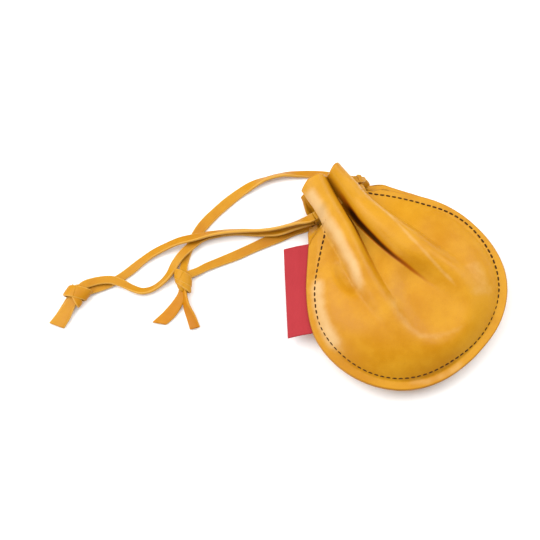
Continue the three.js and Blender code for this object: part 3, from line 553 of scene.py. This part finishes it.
def panel_rows(height, edges, corner_top, middle_line, stops_at, arc_rows, counts, spacing):
    rows = []
    sweep = math.pi / 2 + SHOULDER_ANGLE
    pole = -POLE_REACH
    pole_angle = math.acos(POLE_REACH / BODY_RADIUS)
    for row in range(arc_rows + 1):
        angle = sweep * row / arc_rows
        x = BODY_RADIUS * math.sin(angle)
        y = -BODY_RADIUS * math.cos(angle)
        middle = (float(middle_line(max(y, pole))), max(y, pole))
        own = min(1, angle / pole_angle)
        wide = BODY_RADIUS * math.sin(max(angle, pole_angle))
        halves = []
        for side in (-1, 1):
            edge = (side * x, y)
            facing = -side * math.sin(angle) * (middle[0] - edge[0]) + math.cos(angle) * (middle[1] - edge[1])
            both = [np.array(stops_at(half, middle[1], half * wide, middle[0], FLANGE_WIDTH / facing))
                    for half in (side, -side)]
            eased = lerp((both[0] + both[1]) / 2, both[0], own)
            halves.append(half_row(edge, middle, height, eased, counts))
        rows.append(halves)
    corner_start = corner_top - CORNER_RADIUS
    line_rows = max(2, round((corner_start - SHOULDER_REACH) / spacing))
    neck_rows = max(3, round((MOUTH_REACH - corner_top) / spacing))
    reaches = list(np.linspace(SHOULDER_REACH, corner_start, line_rows + 1)[1:])
    corner = 1 - (1 - np.linspace(0, 1, 13)[1:]) ** 2
    reaches += list(lerp(corner_start, corner_top, corner))
    reaches += list(np.linspace(corner_top, MOUTH_REACH, neck_rows + 1)[1:])
    for y in reaches:
        middle = (float(middle_line(y)), y)
        corner_share = float(smoothstep(corner_start, corner_top, y))
        flange = lerp(FLANGE_WIDTH / SHOULDER_NORMAL[0], LEATHER, corner_share)
        halves = []
        for side, x in zip((-1, 1), edges(y)):
            stops = stops_at(side, y, x, middle[0], flange / abs(middle[0] - x))
            halves.append(half_row((x, y), middle, height, stops, counts))
        rows.append(halves)
    return rows


def welded(rows):
    """One grid of points and quads from the half rows, its shared places joined."""
    places = {}
    points = []

    def number(point):
        key = tuple(np.round(point, 4))
        if key not in places:
            places[key] = len(points)
            points.append(point)
        return places[key]

    grid = [[number(p) for p in left] + [number(p) for p in right[::-1][1:]] for left, right in rows]
    faces = []
    for low, high in zip(grid, grid[1:]):
        for k in range(len(low) - 1):
            face = (low[k], low[k + 1], high[k + 1], high[k])
            face = tuple(dict.fromkeys(face))
            if len(face) > 2:
                faces.append(face)
    return np.array(points), faces


def normals_of(points, faces):
    normals = np.zeros_like(points)
    for face in faces:
        corner = points[list(face)]
        cross = np.cross(corner[1] - corner[0], corner[2] - corner[0])
        if len(face) == 4:
            cross = cross + np.cross(corner[2] - corner[0], corner[3] - corner[0])
        normals[list(face)] += cross
    return unit(normals)


def shell(name, points, faces, thickness):
    """A sheet of leather: two skins and a rounded cut edge."""
    normals = normals_of(points, faces)
    once = {}
    for face in faces:
        for a, b in zip(face, face[1:] + face[:1]):
            if (b, a) in once:
                del once[(b, a)]
            else:
                once[(a, b)] = True
    following = dict(once.keys())
    start = next(iter(following))
    loop = [start]
    while following[loop[-1]] != start:
        loop.append(following[loop[-1]])
    loop = np.array(loop)
    ahead = points[np.roll(loop, -1)] - points[np.roll(loop, 1)]
    outward = unit(np.cross(ahead, normals[loop]))
    count = len(points)
    skins = [points + normals * thickness / 2, points - normals * thickness / 2]
    radius = thickness / 2
    skins[0][loop] -= outward * radius * 0.45
    skins[1][loop] -= outward * radius * 0.45
    everything = list(skins)
    quads = list(faces) + [tuple(index + count for index in reversed(face)) for face in faces]
    last = loop
    edge_marks = [np.zeros(count), np.zeros(count)]
    total = 2 * count
    for angle in (55, 20, -20, -55):
        bend = math.radians(angle)
        ring = (points[loop] + normals[loop] * radius * math.sin(bend)
                + outward * radius * (math.cos(bend) - 0.45))
        everything.append(ring)
        fresh = np.arange(total, total + len(loop))
        quads += [(int(last[k]), int(fresh[k]),
                   int(fresh[(k + 1) % len(loop)]), int(last[(k + 1) % len(loop)]))
                  for k in range(len(loop))]
        total += len(loop)
        edge_marks.append(np.ones(len(loop)))
        last = fresh
    low = loop + count
    quads += [(int(last[k]), int(low[k]), int(low[(k + 1) % len(loop)]), int(last[(k + 1) % len(loop)]))
              for k in range(len(loop))]
    piece = mesh_object(name, np.vstack(everything), quads)
    paint(piece, "edge", np.concatenate(edge_marks))
    return piece


def highlight_streak_marks(piece):
    """How strongly each vertex is lightened by the painted highlight streaks."""
    places = np.array([vertex.co[:2] for vertex in piece.data.vertices]) / MM
    marks = np.zeros(len(places))
    for half_width, strength, line in HIGHLIGHT_STREAKS:
        line = np.array(line, float)
        for number, (a, b) in enumerate(zip(line, line[1:])):
            share = np.clip((places - a) @ (b - a) / np.dot(b - a, b - a), 0, 1)
            away = np.linalg.norm(places - a - share[:, None] * (b - a), axis=1) / half_width
            at = (number + share) / (len(line) - 1)
            ends = smoothstep(0, 0.12, at) * (1 - smoothstep(0.8, 1, at))
            marks = np.maximum(marks, strength * np.exp(-away ** 2) * (0.35 + 0.65 * ends))
    return marks


def crease_shade_marks(piece):
    """How deep in painted shade each vertex lies in the creases between the folds."""
    places = np.array([vertex.co for vertex in piece.data.vertices]) / MM
    marks = np.zeros(len(places))
    for column, strength in (("right_1", 1), ("left_2", 2)):
        beside = np.abs(places[:, 0] - value(FRONT, column, places[:, 1]) * BODY_RADIUS)
        strong = np.interp(places[:, 1], CREASE_SHADE_TABLE[:, 0], CREASE_SHADE_TABLE[:, strength])
        marks = np.maximum(marks, strong * (1 - smoothstep(CREASE_SHADE_SOFT, CREASE_SHADE_WIDTH + CREASE_SHADE_SOFT, beside)))
    return marks


front_rows = panel_rows(front_height, front_edges, FRONT_SEAM_TOP, valley_line, front_stops,
                        110, (10, 26, 46, 14), 0.8)
front_points, front_faces = welded(front_rows)
front_skin = shell("front_leather", front_points, front_faces, LEATHER)
# Painted shade for the creases between the folds, kept per vertex for the material
paint(front_skin, "crease_shade", crease_shade_marks(front_skin))
# Painted highlight streaks, kept per vertex for the material
paint(front_skin, "painted_highlight", highlight_streak_marks(front_skin))
back_rows = panel_rows(back_height, back_edges, TAB_TOP, back_line, back_stops, 90, (10, 60), 0.9)
back_points, back_faces = welded(back_rows)

second_reach = FIRST_LACE_REACH + LACE_PITCH
right_edge = [float(value(FRONT, "right_2", y)) * BODY_RADIUS for y in (FIRST_LACE_REACH, second_reach)]
notch_inner = FLAP_WIDTH / 2 - NOTCH_DEPTH - NOTCH_BITE
notch_sides = ((FLAP_SHIFT - FLAP_WIDTH / 2, FLAP_SHIFT - notch_inner),
               (FLAP_SHIFT + notch_inner, right_edge[0] + RIGHT_BEND_REACH + LACE_THICKNESS / 2 + 0.4))


def in_notch(point):
    beside = any(low < point[0] < high for low, high in notch_sides)
    return beside and abs(point[1] - FIRST_LACE_REACH) < LACE_WIDTH / 2 + 0.4


back_faces = [face for face in back_faces if not in_notch(back_points[list(face)].mean(axis=0))]
back_skin = shell("back_leather", back_points, back_faces, LEATHER)
neck_1 = neck_thong("lace_1_through", FIRST_LACE_REACH, -NECK_WIDTH / 2 - LEFT_EXIT_REACH,
                    right_edge[0] + RIGHT_BEND_REACH)
neck_2 = neck_thong("lace_2_through", second_reach, right_edge[1] + RIGHT_EXIT_REACH,
                    -NECK_WIDTH / 2 + LEFT_BEND_INSET)


# Stitches along the seam

STITCH_PITCH = 3.6
STITCH_LENGTH = 2.9
THREAD = 1.0


def seam_line():
    """The seam from the left of the neck round the body to its right: ideal places and true ones."""
    angles = np.linspace(SEAM_LINE[0, 0], SEAM_LINE[-1, 0], 700)
    kernel = np.exp(-0.5 * (np.arange(-18, 19) / 8.0) ** 2)
    shares = np.interp(angles, SEAM_LINE[:, 0], SEAM_LINE[:, 1])
    shares = np.convolve(np.pad(shares, 18, mode="edge"), kernel / kernel.sum(), mode="valid")
    ahead = np.radians(angles)
    ideal = np.where(np.sin(ahead) > SHOULDER_NORMAL[1],
                     BODY_RADIUS / (np.abs(np.cos(ahead)) * SHOULDER_NORMAL[0]
                                    + np.sin(ahead) * SHOULDER_NORMAL[1]),
                     BODY_RADIUS)
    true = np.stack([np.cos(ahead), np.sin(ahead)], axis=1) * (ideal * shares)[:, None]
    grown = placed(true[:, 0], true[:, 1])
    plan = true * (true / np.stack(grown, axis=1))
    lengths = np.concatenate([[0], np.cumsum(np.linalg.norm(np.diff(true, axis=0), axis=1))])
    return plan, true, lengths


def make_stitches(name, height, side):
    """Short thread dashes, each sunk at both ends into its hole. side is 1 on the front, -1 below."""
    plan, line, lengths = seam_line()
    count = int(lengths[-1] / STITCH_PITCH)
    points = []
    faces = []
    ring = 8
    stations = np.array([-0.5, -0.42, -0.25, 0, 0.25, 0.42, 0.5])
    dip = np.array([-0.6, -0.1, 0.08, 0.14, 0.08, -0.1, -0.6])
    girth = np.array([0.55, 0.9, 1.0, 1.05, 1.0, 0.9, 0.55])
    for stitch in range(count):
        centre = (stitch + 0.5) * lengths[-1] / count
        skew = 0.12 * math.sin(stitch * 2.3)
        first = len(points)
        for station, sink, size in zip(stations, dip, girth):
            at = centre + station * STITCH_LENGTH
            x, y = [np.interp(at, lengths, line[:, k]) for k in (0, 1)]
            x2, y2 = [np.interp(at + 0.2, lengths, line[:, k]) for k in (0, 1)]
            run = unit([x2 - x, y2 - y])
            across = np.array([-run[1], run[0]])
            spot = [np.array([np.interp(at, lengths, plan[:, k])]) for k in (0, 1)]
            base = float(height(*spot)[0]) + side * (LEATHER / 2 + sink)
            x, y = np.array([x, y]) + across * station * skew
            for k in range(ring):
                turn = 2 * math.pi * k / ring
                off = across * math.cos(turn) * THREAD / 2 * size
                points.append((x + off[0], y + off[1], base + math.sin(turn) * THREAD * 0.4 * size))
        for s in range(len(stations) - 1):
            a, b = first + s * ring, first + (s + 1) * ring
            faces += [(a + k, b + k, b + (k + 1) % ring, a + (k + 1) % ring) for k in range(ring)]
        faces.append(tuple(first + k for k in range(ring)))
        faces.append(tuple(first + (len(stations) - 1) * ring + k for k in reversed(range(ring))))
    return mesh_object(name, points, faces)


front_stitches = make_stitches("front_stitches", front_height, 1)
back_stitches = make_stitches("back_stitches", back_height, -1)


# Label

def make_label():
    def left_outline(y):
        half = tangent_half_width(y) if y > SHOULDER_REACH else math.sqrt(BODY_RADIUS ** 2 - y ** 2)
        return np.array([float(part) for part in placed(-half, y)])

    top = left_outline(LABEL_TOP_REACH)
    reach = LABEL_TOP_REACH
    while np.linalg.norm(top - left_outline(reach)) < LABEL_LENGTH:
        reach -= 0.1
    bottom = left_outline(reach)
    along = (top - bottom) / np.linalg.norm(top - bottom)
    outward = np.array([-along[1], along[0]])
    across_count, along_count = 40, 90
    points = []
    faces = []
    for skin in (1, -1):
        for i in range(along_count + 1):
            for j in range(across_count + 1):
                share = j / across_count
                out = lerp(-LABEL_INSERT, LABEL_SHOWING, share)
                beyond = max(0, out - LABEL_FLAT)
                soft = beyond ** 2 / (beyond + 1.5)
                drop = soft * math.tan(LABEL_DROOP)
                run = i / along_count * LABEL_LENGTH - LABEL_SKEW * max(0, out)
                ripple = 0.22 * math.sin(run / 7.5 + 0.6) * smoothstep(2, LABEL_SHOWING, out)
                place = bottom + along * run + outward * out
                points.append((place[0], place[1], SEAM_HEIGHT - drop + ripple + skin * LABEL_THICKNESS / 2))
    stride = across_count + 1
    total = stride * (along_count + 1)
    for i in range(along_count):
        for j in range(across_count):
            a = i * stride + j
            face = (a, a + 1, a + stride + 1, a + stride)
            faces.append(tuple(reversed(face)))
            faces.append(tuple(v + total for v in face))
    rim = [j for j in range(stride)]
    rim += [i * stride + across_count for i in range(1, along_count + 1)]
    rim += [along_count * stride + j for j in range(across_count - 1, -1, -1)]
    rim += [i * stride for i in range(along_count - 1, 0, -1)]
    for a, b in zip(rim, rim[1:] + rim[:1]):
        faces.append((a, b, b + total, a + total))
    return mesh_object("label_ribbon", points, faces)


label = make_label()


# Knots: bands wrapped round a heart, with flat cut tails

def knot_frame(heading):
    angle = math.radians(heading)
    ahead = np.array([math.cos(angle), math.sin(angle), 0])
    left = np.array([-math.sin(angle), math.cos(angle), 0])
    return ahead, left, np.array([0.0, 0, 1])


def wrap(name, centre, heading, reach_across, reach_up, lean, slide, width, turns, start, rise=0.0):
    """A flat band wound round the knot's run. lean tilts the wrap, rise moves it along as it winds."""
    ahead, left, up = knot_frame(heading)
    angles = np.radians(np.linspace(start, start + 360 * turns, int(90 * turns)))
    centres = []
    for k, angle in enumerate(angles):
        share = k / (len(angles) - 1) - 0.5
        along = slide + math.tan(math.radians(lean)) * reach_across * math.cos(angle) + rise * share
        centres.append(centre + left * reach_across * math.cos(angle) + up * reach_up * math.sin(angle)
                       + ahead * along)
    centres = np.array(centres)
    runs = unit(np.gradient(centres, axis=0))
    out = unit([left * math.cos(angle) / reach_across + up * math.sin(angle) / reach_up for angle in angles])
    wides = unit(np.cross(out, runs))
    return strip(name, centres, wides, runs, width, 1.5, cup=-0.25)


def tail(name, points, widths, slant):
    path, along = smooth_path(points, 0.6)
    runs, wides = frames_of(path[:, :3], path[:, 3])
    spread = np.interp(along / along[-1], np.linspace(0, 1, len(widths)), widths)
    return strip(name, path[:, :3], wides, runs, spread, LACE_THICKNESS * 0.9, slants=(0, slant), cup=0.15)


def heart(name, centre, heading, size):
    bpy.ops.mesh.primitive_uv_sphere_add(segments=32, ring_count=20, radius=0.5)
    piece = bpy.context.object
    piece.name = name
    ahead, left, up = knot_frame(heading)
    for vertex in piece.data.vertices:
        x, y, z = vertex.co
        place = centre + ahead * x * size[0] + left * y * size[1] + up * z * size[2]
        vertex.co = Vector(place * MM)
    piece.data.polygons.foreach_set("use_smooth", [True] * len(piece.data.polygons))
    paint(piece, "edge", np.zeros(len(piece.data.vertices)))
    return piece


def make_knot_1():
    centre = np.array([-164.1, 107.2, 4.4])
    return [
        heart("knot_1_heart", centre, 205, (10.5, 10.5, 6.4)),
        wrap("knot_1_wrap", centre, 205, 6.3, 3.5, -20, 0.3, 7.4, 1.0, 100),
        wrap("knot_1_under_wrap", centre, 205, 5.2, 2.9, 30, 2.4, 4.5, 1.0, 80),
        tail("knot_1_tail_a", [(-165.4, 106.2, 4.6, 0), (-169.8, 104.2, 4.4, 10), (-174.6, 101.9, 3.2, 8),
                               (-179.6, 99.6, 2.0, 4), (-185.3, 97.2, 1.4, 0)], (5.5, 7.0, 9.0, 9.6), -0.25),
        tail("knot_1_tail_b", [(-165.6, 107.0, 3.6, 0), (-169.8, 106.6, 2.8, 0), (-174.4, 104.6, 1.7, 0),
                               (-179.2, 102.2, 1.3, 0)], (4.5, 5.0, 5.0), -0.4),
    ]


def make_knot_2():
    centre = np.array([-106.6, 79.4, 4.4])
    return [
        heart("knot_2_heart", centre, 238, (14, 8.0, 6.2)),
        wrap("knot_2_wrap", centre, 238, 4.6, 3.4, 30, -1.6, 6.5, 1.0, 100),
        wrap("knot_2_under_wrap", centre, 238, 4.2, 3.0, 38, 2.4, 4.2, 1.0, 80),
        tail("knot_2_tail_a", [(-107.6, 77.4, 4.0, 10), (-111.4, 72.8, 3.2, 5), (-117.0, 69.6, 2.0, 0),
                               (-124.4, 66.8, 1.4, 0), (-132.4, 65.2, 1.3, 0)], (4.5, 6.0, 7.4, 7.0), -0.75),
        tail("knot_2_tail_b", [(-107.8, 77.4, 4.2, 40), (-110.6, 71.2, 4.0, 62), (-113.0, 64.8, 3.5, 50),
                               (-114.3, 57.4, 2.4, 25), (-115.8, 51.0, 1.6, 8)], (4.5, 5.0, 6.0, 6.4), 0.1),
    ]


knot_1 = make_knot_1()
knot_2 = make_knot_2()


# Materials

class Nodes:
    """A new material's node tree with short ways to add and join nodes."""

    def __init__(self, name):
        self.material = bpy.data.materials.new(name)
        self.material.use_nodes = True
        self.tree = self.material.node_tree
        self.shader = self.tree.nodes["Principled BSDF"]
        self.coordinates = self.add("ShaderNodeTexCoord").outputs["Object"]

    def add(self, kind, **settings):
        node = self.tree.nodes.new(kind)
        for key, setting in settings.items():
            setattr(node, key, setting)
        return node

    def join(self, source, target):
        self.tree.links.new(source, target)

    def noise(self, scale, detail=3.0, roughness=0.5, distortion=0.0):
        node = self.add("ShaderNodeTexNoise")
        node.inputs["Scale"].default_value = scale
        node.inputs["Detail"].default_value = detail
        node.inputs["Roughness"].default_value = roughness
        node.inputs["Distortion"].default_value = distortion
        self.join(self.coordinates, node.inputs["Vector"])
        return node.outputs["Fac"]

    def cells(self, scale, feature="F1"):
        node = self.add("ShaderNodeTexVoronoi", feature=feature)
        node.inputs["Scale"].default_value = scale
        self.join(self.coordinates, node.inputs["Vector"])
        return node.outputs["Distance"]

    def ramp(self, source, low, high, start=0.0, end=1.0):
        node = self.add("ShaderNodeMapRange", interpolation_type="SMOOTHSTEP")
        node.inputs["From Min"].default_value = low
        node.inputs["From Max"].default_value = high
        node.inputs["To Min"].default_value = start
        node.inputs["To Max"].default_value = end
        self.join(source, node.inputs["Value"])
        return node.outputs["Result"]

    def sum(self, *terms):
        """Terms are pairs of an output and its weight."""
        total = None
        for source, weight in terms:
            node = self.add("ShaderNodeMath", operation="MULTIPLY_ADD")
            self.join(source, node.inputs[0])
            node.inputs[1].default_value = weight
            if total is None:
                node.inputs[2].default_value = 0
            else:
                self.join(total, node.inputs[2])
            total = node.outputs[0]
        return total

    def mix(self, factor, first, second, blend="MIX"):
        node = self.add("ShaderNodeMix", data_type="RGBA", blend_type=blend)
        self.join(factor, node.inputs["Factor"])
        for colour, socket in ((first, node.inputs[6]), (second, node.inputs[7])):
            if isinstance(colour, tuple):
                socket.default_value = (*colour, 1)
            else:
                self.join(colour, socket)
        return node.outputs[2]

    def attribute(self, name):
        return self.add("ShaderNodeAttribute", attribute_name=name).outputs["Fac"]

    def bump(self, height, distance, strength=1.0):
        node = self.add("ShaderNodeBump")
        node.inputs["Distance"].default_value = distance
        node.inputs["Strength"].default_value = strength
        self.join(height, node.inputs["Height"])
        self.join(node.outputs["Normal"], self.shader.inputs["Normal"])


# Painted shade in the creases: a near-black core and a warm brown fringe
CREASE_SHADE_COLOUR = (0.030, 0.007, 0.001)
CREASE_SHADE_WARM = (0.32, 0.080, 0.0005)
# Colour of the painted highlights
HIGHLIGHT_COLOUR = (0.58, 0.38, 0.17)


def leather(name, light, deep, edge_colour, roughness):
    nodes = Nodes(name)
    clouds = nodes.noise(22, 2, 0.5)
    blotches = nodes.noise(110, 4, 0.6)
    grain = nodes.noise(2600, 4, 0.6)
    creases = nodes.noise(520, 3, 0.6, 0.8)
    pores = nodes.ramp(nodes.cells(1500), 0.0, 0.22, 1, 0)
    specks = nodes.ramp(nodes.cells(210), 0.0, 0.07, 1, 0)
    tone = nodes.ramp(nodes.sum((clouds, 0.6), (blotches, 0.4)), 0.36, 0.64)
    colour = nodes.mix(tone, deep, light)
    colour = nodes.mix(nodes.ramp(grain, 0.35, 0.75, 0.0, 0.22), colour, tuple(c * 0.62 for c in deep))
    colour = nodes.mix(nodes.ramp(nodes.sum((pores, 0.30)), 0, 1), colour, tuple(c * 0.45 for c in deep))
    colour = nodes.mix(nodes.ramp(nodes.sum((specks, 0.55)), 0, 1), colour, tuple(c * 0.3 for c in deep))
    colour = nodes.mix(nodes.ramp(nodes.attribute("edge"), 0.2, 0.9), colour, edge_colour)
    # Painted highlights: pale peach streaks where the light catches the folds, mottled by the blotches
    painted_highlight = nodes.sum((nodes.attribute("painted_highlight"), 1.0), (blotches, 0.5))
    colour = nodes.mix(nodes.ramp(painted_highlight, 0.40, 1.35), colour, HIGHLIGHT_COLOUR)
    # Painted shade in the creases between the folds: warm brown at the fringe, near-black at the core
    crease_shade = nodes.attribute("crease_shade")
    colour = nodes.mix(nodes.ramp(crease_shade, 0.0, 0.6), colour, CREASE_SHADE_WARM)
    colour = nodes.mix(nodes.ramp(crease_shade, 0.5, 0.95), colour, CREASE_SHADE_COLOUR)
    nodes.join(colour, nodes.shader.inputs["Base Color"])
    nodes.join(nodes.ramp(nodes.sum((blotches, 0.6), (grain, 0.4)), 0.3, 0.7,
                          roughness - 0.06, roughness + 0.08),
               nodes.shader.inputs["Roughness"])
    nodes.shader.inputs["Specular IOR Level"].default_value = 0.18
    nodes.bump(nodes.sum((grain, 0.35), (creases, 0.9), (pores, -0.5)), 0.00012, 0.8)
    return nodes.material


def thread_material():
    nodes = Nodes("thread")
    twist = nodes.noise(3200, 2)
    nodes.join(nodes.mix(twist, (0.032, 0.013, 0.003), (0.070, 0.029, 0.008)),
               nodes.shader.inputs["Base Color"])
    nodes.shader.inputs["Roughness"].default_value = 0.8
    nodes.shader.inputs["Specular IOR Level"].default_value = 0.1
    nodes.bump(twist, 0.0001)
    return nodes.material


def ribbon_material():
    nodes = Nodes("label_weave")
    wave = nodes.add("ShaderNodeTexWave", bands_direction="DIAGONAL")
    wave.inputs["Scale"].default_value = 700
    wave.inputs["Distortion"].default_value = 0.6
    nodes.join(nodes.coordinates, wave.inputs["Vector"])
    weave = wave.outputs["Fac"]
    slub = nodes.noise(900, 3)
    cloud = nodes.noise(60, 2)
    colour = nodes.mix(cloud, (0.32, 0.018, 0.025), (0.38, 0.028, 0.034))
    depth = nodes.ramp(nodes.sum((weave, 0.5), (slub, 0.5)), 0.3, 0.9, 0, 0.35)
    colour = nodes.mix(depth, colour, (0.30, 0.02, 0.03))
    nodes.join(colour, nodes.shader.inputs["Base Color"])
    nodes.shader.inputs["Roughness"].default_value = 0.7
    nodes.shader.inputs["Specular IOR Level"].default_value = 0.2
    nodes.bump(nodes.sum((weave, 0.6), (slub, 0.6)), 0.00012)
    return nodes.material


def floor_material():
    nodes = Nodes("pale_floor")
    paper = nodes.noise(8, 2)
    nodes.join(nodes.mix(paper, (0.93, 0.93, 0.93), (0.95, 0.95, 0.95)), nodes.shader.inputs["Base Color"])
    nodes.shader.inputs["Roughness"].default_value = 0.8
    nodes.shader.inputs["Specular IOR Level"].default_value = 0.2
    return nodes.material


BODY_LEATHER = leather("mustard_leather",
                       (0.52, 0.242, 0.008), (0.44, 0.178, 0.001), (0.38, 0.155, 0.004), 0.36)
# The thongs' cut edges are painted lighter than their faces: a painted highlight along their top edges
LACE_LEATHER = leather("thong_leather",
                       (0.47, 0.212, 0.005), (0.41, 0.158, 0.001), (0.52, 0.270, 0.040), 0.42)
TAIL_LEATHER = leather("tail_leather",
                       (0.46, 0.176, 0.001), (0.40, 0.135, 0.001), (0.48, 0.210, 0.010), 0.42)
THREAD_LOOK = thread_material()
RIBBON_LOOK = ribbon_material()


# Dress every piece: its look, the body it rides on, and the CAD node it stands for, which is hidden

def dress(piece, look, slot_name, *stands_for):
    piece.data.materials.clear()
    piece.data.materials.append(look)
    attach(piece, "root")
    if stands_for:
        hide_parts(*stands_for)


dress(front_skin, BODY_LEATHER, "leather", "front_panel")
dress(back_skin, BODY_LEATHER, "leather", "back_panel")
dress(label, RIBBON_LOOK, "label_weave", "label")
dress(neck_1, LACE_LEATHER, "leather", "lace_1_neck")
dress(neck_2, LACE_LEATHER, "leather", "lace_2_neck")
dress(front_stitches, THREAD_LOOK, "leather")
dress(back_stitches, THREAD_LOOK, "leather")
for knot_name, pieces in (("knot_1", knot_1), ("knot_2", knot_2)):
    for number, piece in enumerate(pieces):
        look = TAIL_LEATHER if piece.name.startswith("knot_2_tail") else LACE_LEATHER
        dress(piece, look, "leather", *([knot_name] if number == 0 else []))
for strand_name, (piece, centres, length) in STRANDS.items():
    dress(piece, LACE_LEATHER, "leather", strand_name)


# Floor and soft studio light

def make_floor():
    floor = mesh_object("floor", [(-3000, -3000, -0.05), (3000, -3000, -0.05), (3000, 3000, -0.05),
                                  (-3000, 3000, -0.05)], [(0, 1, 2, 3)], smooth=False)
    floor.data.materials.append(floor_material())


def make_light(name, place, aim, size, power, colour=(1, 1, 1)):
    data = bpy.data.lights.new(name, "AREA")
    data.shape = "RECTANGLE"
    data.size, data.size_y = size
    data.energy = power
    data.color = colour
    light = bpy.data.objects.new(name, data)
    light.location = place
    light.rotation_euler = (Vector(aim) - Vector(place)).to_track_quat("-Z", "Y").to_euler()
    bpy.context.scene.collection.objects.link(light)


make_floor()
make_light("key", (-0.65, 0.65, 1.0), (-0.02, 0.02, 0), (0.9, 0.9), 14)
make_light("left", (-1.1, 0.1, 0.40), (-0.02, 0.0, 0.01), (0.9, 0.6), 4)
make_light("fill", (0.9, 0.05, 0.8), (0, 0, 0), (0.9, 0.9), 11)
make_light("top", (0.0, 0.3, 1.5), (-0.05, 0.05, 0), (1.2, 1.2), 9)
world = bpy.data.worlds.new("studio")
world.use_nodes = True
world.node_tree.nodes["Background"].inputs["Color"].default_value = (1, 1, 1, 1)
world.node_tree.nodes["Background"].inputs["Strength"].default_value = 0.45
bpy.context.scene.world = world

bpy.context.scene.view_settings.view_transform = "Standard"
